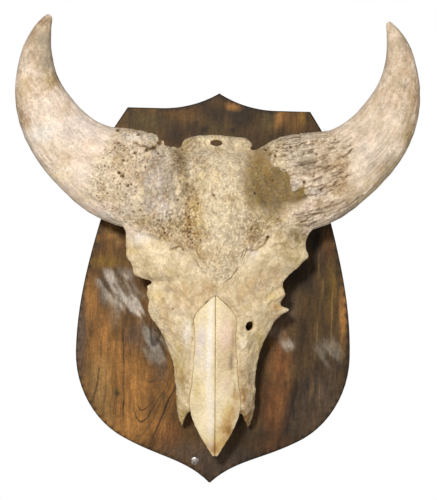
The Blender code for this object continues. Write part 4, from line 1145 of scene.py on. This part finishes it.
def bone_material(settings, name, pores, pitted=480.0, grooves=None, streaks=0.0, roughness=0.8):
    """Dry bone: painted colour, fine grain, and pores and grooves with dirt in them.

    The pores have an amount and a scale. The grooves have a scale, a width, a strength and how little
    they are drawn out.
    """
    made, tree, shader = new_material(name, roughness)
    lay, grit = attribute(tree, "lay", "Vector"), attribute(tree, "grit")
    fine = shared(tree, "pores", lay, pitted, Size=0.3, Amount=product(tree, grit, pores))
    few = shared(tree, "pores", lay, 120.0, Size=0.1, Amount=0.6)
    dirt_and_shade = maths(tree, "MAXIMUM", fine["Dirt"], few["Dirt"])
    grain = shared(tree, "grain", lay, 400.0, Contrast=ramp(tree, grit, 0.1, 0.8, 1.1, 1.5))
    shade, rise = grain["Shade"], grain["Height"]
    if grooves:
        scale, width, strength, drawn = grooves
        worms = shared(tree, "grooves", stretched(tree, lay, (drawn, 1.0, 1.0)), scale,
                       Width=width, Amount=product(tree, grit, strength))
        dirt_and_shade = maths(tree, "MAXIMUM", dirt_and_shade, worms["Dirt"])
    if streaks:
        bare = ramp(tree, grit, 0.2, 0.9, streaks, 0.0)
        lines = shared(tree, "grain", stretched(tree, lay, (0.09, 1.0, 1.0)), 560.0, Contrast=bare)
        shade = product(tree, shade, lines["Shade"])
        rise = maths(tree, "ADD", rise, product(tree, lines["Height"], bare))
    clean = mix_colour(tree, 1.0, attribute(tree, "tint", "Color"), shade, "MULTIPLY")
    dirtied_and_shaded = mix_colour(tree, product(tree, dirt_and_shade, 0.9), clean, tuple(settings.pit), "MULTIPLY")
    coarse = product(tree, rise, ramp(tree, grit, 0, 1, 0.3, 1.5))
    height = maths(tree, "ADD", coarse, product(tree, dirt_and_shade, -0.9))
    finish_shader(tree, shader, dirtied_and_shaded, height, 0.8, 1.2 * MM, 0.25)
    return made


class SKULL_OT_bones(bpy.types.Operator):
    """Makes the cranium, crest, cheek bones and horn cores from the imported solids"""

    bl_idname = "skull.bones"
    bl_label = "Bones and Horn Cores"

    def execute(self, context):
        settings = context.scene.skull_bone
        size = coarser(settings.voxel)
        grown = [node_copy(name, 0.25 * MM) for name in BONE_NODES]
        whole = remeshed("bones", joined("bones", grown), size)
        rounds = round(22 * (1.15 * MM / size) ** 2)  # the same reach at any spacing
        relax(whole.data, rounds, 0.35 * size)
        shape_bones(whole.data, settings)
        for hole in (FORAMEN, CREST_HOLE):
            cut(whole, new_piece("peg", oval_peg(*hole)))
        cut(whole, new_piece("gap", block(GAP)))
        for name in FITTED_NODES:
            cut(whole, new_piece("cutter", node_copy(name, 0.2 * MM)))
        blades = [
            suture_blade(line, side, wander, seed)
            for line, wander, seed in ((BURR_LINE, 0.8 * MM, 61), (BROW_SUTURE, 1.6 * MM, 67),
                                       (CHEEK_SUTURE, 1.4 * MM, 71))
            for side in (1, -1)
        ]
        blades.append(suture_blade(CREST_SEAM, 1, 0.5 * MM, 73))
        cut(whole, new_piece("blades", joined("blades", blades)))
        heal(whole.data, ("tint", "grit", "lay"))
        plain = bone_material(
            settings, "Bone", pores=0.45, pitted=500.0, grooves=(440.0, 0.045, 0.45, 1.3))
        finish = {
            "horn_core_right": bone_material(
                settings, "Pitted horn core", pores=0.9, pitted=330.0, grooves=(280.0, 0.045, 0.5, 0.4),
                streaks=0.5),
            "horn_core_left": bone_material(
                settings, "Grooved horn core", pores=0.4, pitted=420.0, grooves=(230.0, 0.11, 1.0, 0.2),
                streaks=0.5),
        }
        for name, part in named_parts(whole).items():
            dress(part, name, finish.get(name, plain))
        return {"FINISHED"}


# Stains of the nasal bones, given as those of the other bones. The white streaks near the middle are a
# painted highlight along the bones' ridge, and the first two tan patches are painted shade on the right
# bone's far flank
NASAL_STAINS_AND_SHADING = {
    "buff": ((-15, -143, 8, 20, 0.4), (18, -95, 13, 75, 0.45)),
    "tan": (
        # The first two are painted shade on the right nasal bone's flank, away from the key light
        (25, -64, 5, 43, 0.6), (18, -72, 12, 42, 0.55), (16, -195, 5, 8, 0.9), (31, -157, 5, 10, 0.6),
    ),
    "grey": ((23, -89, 4, 13, 0.8),),
    "yellow": ((-19, -126, 5, 15, 0.5), (20, -155, 8, 16, 0.8), (8, -190, 16, 18, 0.7)),
    "ochre": ((32, -137, 5, 13, 0.7), (22, -178, 9, 20, 0.9), (3, -204, 10, 11, 0.85)),
    "rust": (
        (24, -180, 4, 12, 0.6), (4, -206, 5, 6, 0.5), (25, -62, 2, 12, 0.5), (24, -92, 2, 12, 0.5),
        (29, -126, 2, 9, 0.4),
    ),
    "pale_grey": ((-19, -88, 4, 20, 0.7),),
    "pink": ((16, -54, 9, 25, 0.7), (18, -120, 8, 15, 0.4)),
    "cream": ((-7, -170, 10, 20, 0.6), (7, -41, 4, 18, 0.5), (12, -142, 8, 16, 0.6)),
    "lilac": ((-15, -62, 5, 23, 0.95), (-11, -96, 5, 20, 0.5)),
    # Painted highlight along the ridge of the nasal bones
    "white": ((-4, -75, 4, 70, 0.9), (0, -166, 4, 38, 0.6)),
}


def nasal_bone(name, settings):
    """A smooth, painted nasal bone, uneven on its front only."""
    piece = remeshed(name, node_copy(name, 0.05 * MM), coarser(0.8 * MM))
    relax(piece.data, 8, 0.3 * MM)
    points, normals = points_of(piece.data), normals_of(piece.data)
    coarse, rough = noise(points * (1, 1, 0.5), 12 * MM, 81, 2), noise(points, 9 * MM, 83, 3)
    fine = noise(points, 2.6 * MM, 85, 2)
    x, z = points[:, 0] / MM, points[:, 2] / MM
    front = smooth_step(0.35, 0.8, -normals[:, 1])
    height = (0.35 * coarse + 0.12 * fine - 0.3) * front * MM
    tint = filled(settings.nasal, len(points))
    tint = blended(tint, 0.4 * smooth_step(0, 0.6, rough), settings.buff)
    stain(tint, x, z, 0.5 * rough + 0.2 * fine, NASAL_STAINS_AND_SHADING, settings)
    tint *= (1 + 0.1 * fine + 0.1 * rough)[:, None]
    paint(piece.data, "tint", np.clip(tint, 0, 1))
    paint(piece.data, "grit", np.full(len(points), 0.12))
    paint(piece.data, "lay", points)
    move_points(piece.data, points + normals * height[:, None])
    return piece


class SKULL_OT_nasals(bpy.types.Operator):
    """Makes the two smooth nasal bones"""

    bl_idname = "skull.nasals"
    bl_label = "Nasal Bones"

    def execute(self, context):
        settings = context.scene.skull_bone
        material = bone_material(settings, "Nasal bone", pores=0.3, roughness=0.6)
        for name in ("nasal_left", "nasal_right"):
            dress(nasal_bone(name, settings), name, material)
        return {"FINISHED"}


# Patches of the wood, given as the stains and laid in this order: broad ones, grey rubbed ones, the
# whitish scratches in those, and knots. Some are painted light and shade: black patches are painted
# shadow of the skull beside the right orbit and the muzzle, a brown one makes that shadow paler beside
# the muzzle, and a black one among the knots is painted shadow in the notch by the crest
WOOD_PATCHES = {
    "black": (
        (4, 236, 60, 18, 0.35), (-96, 216, 36, 20, 0.3), (84, -192, 34, 26, 0.4), (-110, 4, 20, 26, 0.25),
        (-152, 75, 12, 10, 0.5), (-118, 74, 8, 8, 0.5), (-134, 19, 21, 6, 0.5), (-82, -85, 16, 23, 0.6),
        # The black patches at (125, 66), (134, 38) and (111, 20) are painted shadow right of the right
        # orbit, and the one at (65, -128) painted shadow right of the muzzle
        (-156, 43, 6, 18, 0.5), (125, 66, 14, 23, 0.9), (134, 38, 8, 16, 0.7), (111, 20, 23, 29, 0.8),
        (113, -75, 9, 47, 0.35), (65, -128, 6, 52, 0.25), (-42, 207, 24, 16, 0.7), (30, 224, 13, 16, 0.6),
        (121, 219, 8, 13, 0.3), (-100, 218, 36, 20, 0.45), (20, -225, 50, 26, 0.55),
        (120, -155, 40, 46, 0.5), (0, 232, 40, 14, 0.4), (78, -196, 30, 22, 0.6), (158, -10, 16, 50, 0.3),
    ),
    "dark": ((140, 8, 13, 31, 0.5), (139, -77, 23, 21, 0.6)),
    "plum": (
        (-143, -6, 10, 21, 0.7), (-173, -65, 9, 60, 0.8), (-101, -67, 18, 21, 0.7),
        (-67, -113, 10, 18, 0.6), (-31, -213, 34, 18, 0.5), (3, -231, 23, 18, 0.4),
        (92, -28, 16, 21, 0.6), (81, -52, 10, 13, 0.5), (148, -131, 26, 42, 0.5),
        (118, -160, 23, 31, 0.3), (39, -222, 26, 16, 0.3),
    ),
    "green": (
        (-124, -139, 6, 5, 1), (-63, -141, 5, 6, 0.7), (-96, 214, 34, 21, 0.85), (-8, 208, 16, 13, 0.6),
        (64, 220, 10, 16, 0.8),
    ),
    "brown": (
        # The first brown patch is painted light that makes the skull's shadow beside the muzzle paler
        (69, -117, 8, 24, 0.5), (-140, 59, 21, 21, 0.7), (-80, -126, 13, 31, 0.6),
        (-158, -149, 9, 31, 0.5), (-50, 228, 26, 13, 0.4), (1, 240, 18, 9, 0.3), (101, 219, 16, 16, 0.7),
    ),
    "red": (
        (-58, -189, 21, 16, 0.7), (147, 59, 8, 18, 0.5), (89, -106, 14, 52, 0.85),
        (79, -159, 13, 31, 0.7), (80, -203, 26, 13, 0.3),
    ),
    "olive": ((-139, 31, 26, 9, 0.85), (153, -1, 8, 39, 0.4), (109, 226, 6, 10, 0.6)),
    "tan": ((-127, 56, 6, 6, 0.6), (-145, -129, 17, 49, 0.7), (-131, -167, 8, 23, 0.5)),
    "orange": (
        (-140, 65, 6, 6, 0.7), (-160, -23, 8, 31, 0.8), (-143, -58, 12, 23, 0.9),
        (-128, -78, 13, 13, 0.6), (-147, -84, 18, 21, 0.5), (-109, -137, 26, 60, 1),
        (-112, -96, 16, 20, 0.5), (95, 212, 26, 12, 0.15), (-59, -140, 16, 23, 0.45),
        (-92, -181, 34, 18, 0.6), (169, -26, 5, 42, 0.85), (18, 238, 10, 6, 0.85), (81, 226, 8, 13, 0.7),
    ),
}
WOOD_WORN = {
    "worn": (
        (-122, -2, 16, 22, 0.5), (-108, -22, 16, 20, 0.55), (-126, -36, 9, 20, 0.3),
        (-84, -62, 20, 16, 0.6), (-74, -84, 13, 14, 0.5), (-139, 8, 12, 10, 0.4), (97, -71, 9, 7, 0.5),
        (148, -79, 16, 18, 0.3), (83, -56, 8, 8, 0.3),
    ),
}
WOOD_SMEARS = {
    "smear": (
        (-120, -4, 16, 20, 0.6), (-104, -26, 16, 16, 0.8), (-97, -34, 9, 8, 0.5), (-80, -62, 18, 15, 0.5),
        (-72, -82, 12, 12, 0.4), (-141, 10, 10, 10, 0.5), (98, -71, 6, 6, 0.4), (150, -82, 14, 16, 0.2),
    ),
}
WOOD_KNOTS_AND_SHADOW = {
    "green": ((-124, -139, 5, 6, 1), (-63, -141, 5, 6, 0.6)),
    # The last black patch, at (-60, 194), is painted shadow in the notch beside the crest
    "black": ((-122, -141, 3, 5, 0.5), (-152, 52, 7, 5, 0.5), (-60, 194, 18, 16, 0.8)),
    "tan": ((-139, 72, 6, 7, 0.6), (-130, 66, 4, 5, 0.5)),
}

# The middle of the wood's growth rings, and the depth of the slab that the plaque is cut from
WOOD_HEART = (-66 * MM, 0, -20 * MM)
SLAB_DEEP = 40 * MM


def plaque_mesh(spacing):
    """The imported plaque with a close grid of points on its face, cut from a thicker slab."""
    low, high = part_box("plaque")
    wide, tall = high.x - low.x + 8 * MM, high.z - low.z + 8 * MM
    grid = bmesh.new()
    across, up = round(wide / spacing), round(tall / spacing)
    bmesh.ops.create_grid(grid, x_segments=across, y_segments=up, size=0.5)
    turn = Matrix.Rotation(math.pi / 2, 4, "X") @ Matrix.Diagonal((wide, tall, 1, 1))
    place = Matrix.Translation(((low.x + high.x) / 2, PLAQUE_FRONT + 0.02 * MM, (low.z + high.z) / 2))
    bmesh.ops.transform(grid, matrix=place @ turn, verts=grid.verts)
    made = bmesh.ops.extrude_face_region(grid, geom=list(grid.faces))
    back = [part for part in made["geom"] if isinstance(part, bmesh.types.BMVert)]
    bmesh.ops.translate(grid, verts=back, vec=(0, SLAB_DEEP, 0))
    bmesh.ops.recalc_face_normals(grid, faces=grid.faces)
    slab = new_piece("plaque", finished(grid, "plaque"))
    return cut(slab, new_piece("outline", node_copy("plaque")), "INTERSECT")


def rim_distance(points, face):
    """Distance from each of the plaque's points to the edge of its face."""
    rim = KDTree(int(np.sum(~face)))
    for index, point in enumerate(points[~face]):
        rim.insert((point[0], PLAQUE_FRONT, point[2]), index)
    rim.balance()
    return np.array([rim.find((x, PLAQUE_FRONT, z))[2] for x, _, z in points])


def wood_material():
    """Dark worn hardwood: painted colour, growth rings, pores and a rubbed finish."""
    made, tree, shader = new_material("Plaque wood", 0.55)
    place = node(tree, "TexCoord").outputs["Object"]

    # Growth rings: arches over the heart of the wood, and straight grain below it
    drift = vector(tree, "SUBTRACT", cloud(tree, place, 9.0, 3.0, output="Color"), (0.5, 0.5, 0.5))
    moved = vector(tree, "ADD", place, stretched(tree, drift, (0.04, 0.0, 0.0)))
    lean = {"Vector": moved, "Center": WOOD_HEART, "Angle": math.radians(-9)}
    leaning = node(tree, "VectorRotate", lean, rotation_type="Y_AXIS").outputs["Vector"]
    sunk = vector(tree, "MINIMUM", vector(tree, "SUBTRACT", leaning, WOOD_HEART), (9.0, 9.0, 0.0))
    ring = vector(tree, "LENGTH", stretched(tree, sunk, (1.0, 0.0, 0.2)), output="Value")
    bands = node(tree, "CombineXYZ", {"X": ring}).outputs["Vector"]
    away = maths(tree, "ABSOLUTE", maths(tree, "SUBTRACT", cloud(tree, bands, 95.0, 1.0), 0.5))
    gaps = ramp(tree, cloud(tree, place, 22.0, 2.0), 0.38, 0.54)
    line = product(tree, ramp(tree, away, 0.0, 0.016, 0.9, 0.0), gaps)
    line = product(tree, line, attribute(tree, "lined"))

    # Light and dark bands, pores and specks
    pores = cloud(tree, stretched(tree, place, (1.0, 1.0, 0.06)), 900.0, 3.0)
    streak = ramp(tree, cloud(tree, bands, 300.0, 5.0, 0.65), 0.3, 0.7, 0.8, 1.2)
    specks = ramp(tree, cloud(tree, place, 260.0, 4.0, 0.7), 0.3, 0.7, 0.7, 1.3)
    shade = product(tree, product(tree, streak, ramp(tree, pores, 0.35, 0.6, 0.82, 1.12)), specks)
    grained = mix_colour(tree, 1.0, attribute(tree, "tint", "Color"), shade, "MULTIPLY")
    lined = mix_colour(tree, line, grained, (0.015, 0.008, 0.004))
    height = maths(tree, "ADD", product(tree, pores, 0.6), product(tree, line, -0.5))
    finish_shader(tree, shader, lined, height, 0.4, 0.6 * MM, 0.18)
    return made


def plaque_colours(points, face, settings):
    """The wood's colour at every point, under its patches, scratches and knots, with painted shadows
    beside the skull and painted shade along its rim and over its right side.
    """
    x, z = points[:, 0] / MM, points[:, 2] / MM
    rough, fine = noise(points, 30 * MM, 103, 4), noise(points * (1, 1, 0.2), 5 * MM, 107, 3)
    mottle = noise(points * (1, 1, 0.5), 11 * MM, 109, 3)
    tint = filled(settings.brown, len(points))
    # Darker towards the right: partly the wood's own darker tone, partly painted shade on the side away
    # from the key light
    tint = blended(tint, smooth_step(-70, 20, x + 30 * rough), settings.dark)
    stain(tint, x, z, 0.5 * rough + 0.3 * mottle, WOOD_PATCHES, settings)
    slant = np.stack([points[:, 0] + 0.6 * points[:, 2], points[:, 1], 0.3 * points[:, 2]], axis=1)
    scratched = noise(slant, 7 * MM, 113, 4)
    stain(tint, x, z, 0.6 * rough - 0.2, WOOD_WORN, settings, smooth_step(-0.3, 0.0, scratched))
    stain(tint, x, z, 0.6 * rough - 0.2, WOOD_SMEARS, settings, smooth_step(-0.06, 0.2, scratched))
    stain(tint, x, z, 0.4 * rough, WOOD_KNOTS_AND_SHADOW, settings)
    streaks = noise(points * (1, 1, 0.05), 2.6 * MM, 115, 2)
    streaked = blob(x, z, (150, -5, 34, 80)) + 0.6 * blob(x, z, (120, -120, 40, 60))
    tint = blended(tint, 0.38 * streaked * smooth_step(0.15, 0.55, streaks), settings.tan)
    tint *= (1 + 0.45 * mottle + (0.45 + 0.35 * (x > 60)) * fine)[:, None]
    # Painted shade along the edge of the face, where it rounds over into the bevel
    rim = smooth_step(0.5 * MM, 5 * MM, rim_distance(points, face) + 1.2 * MM * mottle)
    return np.clip(blended(tint, 0.75 * (1 - rim), settings.black), 0, 1)


class SKULL_OT_plaque(bpy.types.Operator):
    """Makes the wooden shield"""

    bl_idname = "skull.plaque"
    bl_label = "Plaque"

    def execute(self, context):
        settings = context.scene.skull_wood
        piece = plaque_mesh(coarser(settings.spacing))
        points = points_of(piece.data)
        face = points[:, 1] < PLAQUE_FRONT + 0.1 * MM
        dent = np.clip(noise(points, 22 * MM, 101, 3), -1, 0) * 0.5 * MM
        points[face, 1] -= dent[face]
        move_points(piece.data, points)
        ringed = blob(points[:, 0] / MM, points[:, 2] / MM, (-95, -125, 75, 95))
        paint(piece.data, "lined", 0.2 + 0.8 * ringed)
        paint(piece.data, "tint", plaque_colours(points, face, settings))
        dress(piece, "plaque", wood_material(), 35)
        return {"FINISHED"}


class SKULL_OT_fixings(bpy.types.Operator):
    """Gives the screws, the hanger with its nails and the stud a dull steel finish"""

    bl_idname = "skull.fixings"
    bl_label = "Fixings"

    def execute(self, context):
        made, tree, shader = new_material("Dull steel", 0.45, 0.85)
        place = node(tree, "TexCoord").outputs["Object"]
        share = ramp(tree, cloud(tree, place, 420.0, 4.0), 0.45, 0.65)
        tree.links.new(mix_colour(tree, share, (0.36, 0.34, 0.31), (0.12, 0.07, 0.045)),
                       shader.inputs["Base Color"])
        tree.links.new(ramp(tree, share, 0, 1, 0.35, 0.8), shader.inputs["Roughness"])
        for name, solid in frame["nodes"].items():
            if name.startswith(("skull_screw", "hanger", "plaque_stud")):
                solid.data.materials.clear()
                solid.data.materials.append(made)
        return {"FINISHED"}


# Where the camera looks at the wall, the point that the lights face, each light's place, width and
# colour, and the paper floor's place and half size; in metres
VIEW_X, VIEW_Z = 4 * MM, 50 * MM
LIT_POINT = (0, -0.05, 0.05)
KEY_LIGHT = ((-0.55, -2.45, 0.8), 0.36, (1, 0.985, 0.96))
FILL_LIGHT = ((1.9, -1.7, 0.4), 1.6, (0.95, 0.97, 1))
FLOOR_PLACE, FLOOR_HALF = (0, -0.25, -0.46), 0.7


def area_light(name, place, size, colour, power):
    """A square area light at a place, turned to the skull."""
    light = bpy.data.lights.new(name, "AREA")
    light.size, light.energy, light.color = size, power, colour
    obj = new_piece(name, light)
    obj.location = place
    obj.rotation_euler = (Vector(LIT_POINT) - Vector(place)).to_track_quat("-Z", "Y").to_euler()
    return obj


class SKULL_OT_stage(bpy.types.Operator):
    """Sets the floor, the soft light and the camera at the photograph's angle"""

    bl_idname = "skull.stage"
    bl_label = "Stage"

    def execute(self, context):
        settings = context.scene.skull_stage
        context.scene.view_settings.view_transform = "Standard"
        self.room(settings)
        floor = bmesh.new()
        bmesh.ops.create_grid(floor, x_segments=1, y_segments=1, size=FLOOR_HALF)
        piece = new_piece("floor", finished(floor, "floor"))
        piece.location = FLOOR_PLACE
        paper, _, shader = new_material("Paper", 0.9)
        shader.inputs["Base Color"].default_value = (0.86, 0.86, 0.85, 1)
        piece.data.materials.append(paper)
        lights = [
            area_light("key_light", *KEY_LIGHT, settings.key_power),
            area_light("fill_light", *FILL_LIGHT, settings.fill_power),
        ]
        self.camera(context, settings)
        return {"FINISHED"}

    def room(self, settings):
        """White to the camera, and dimmer as a light."""
        world = bpy.data.worlds.new("Room")
        bpy.context.scene.world = world
        world.use_nodes = True
        tree = world.node_tree
        back = tree.nodes["Background"]
        seen = node(tree, "LightPath").outputs["Is Camera Ray"]
        tree.links.new(ramp(tree, seen, 0, 1, settings.sky, 1.0), back.inputs["Strength"])
        back.inputs["Color"].default_value = (1, 1, 1, 1)

    def camera(self, context, settings):
        """The photograph's view: level, straight on, from far off, with a slight roll."""
        lens = bpy.data.cameras.new("camera")
        lens.sensor_width = 36
        reach = settings.distance + HORN_AXIS_Y
        lens.lens = lens.sensor_width * reach / settings.frame_high
        obj = new_piece("camera", lens)
        place = Matrix.Translation((VIEW_X, -settings.distance, VIEW_Z))
        obj.matrix_world = (place @ Matrix.Rotation(math.pi / 2, 4, "X")
                            @ Matrix.Rotation(settings.roll, 4, "Z"))
        context.scene.camera = obj


class SKULL_PT_panel(bpy.types.Panel):
    """Lists the steps in the sidebar"""

    bl_idname = "SKULL_PT_panel"
    bl_label = "Skull"
    bl_space_type = "VIEW_3D"
    bl_region_type = "UI"
    bl_category = "Skull"

    def draw(self, context):
        for operator in OPERATORS:
            self.layout.operator(operator.bl_idname)


SETTINGS = {"skull_bone": BoneSettings, "skull_wood": WoodSettings, "skull_stage": StageSettings}
OPERATORS = (SKULL_OT_bones, SKULL_OT_nasals, SKULL_OT_plaque, SKULL_OT_fixings, SKULL_OT_stage)
CLASSES = (*SETTINGS.values(), *OPERATORS, SKULL_PT_panel)


def register():
    """Adds the classes and their settings to Blender."""
    for made in CLASSES:
        bpy.utils.register_class(made)
    for name, group in SETTINGS.items():
        setattr(bpy.types.Scene, name, PointerProperty(type=group))


def unregister():
    """Takes them out again."""
    for name in SETTINGS:
        delattr(bpy.types.Scene, name)
    for made in reversed(CLASSES):
        bpy.utils.unregister_class(made)


def main():
    """Builds the whole scene."""
    register()
    for operator in OPERATORS:
        group, name = operator.bl_idname.split(".")
        getattr(getattr(bpy.ops, group), name)()


if __name__ == "__main__":
    main()
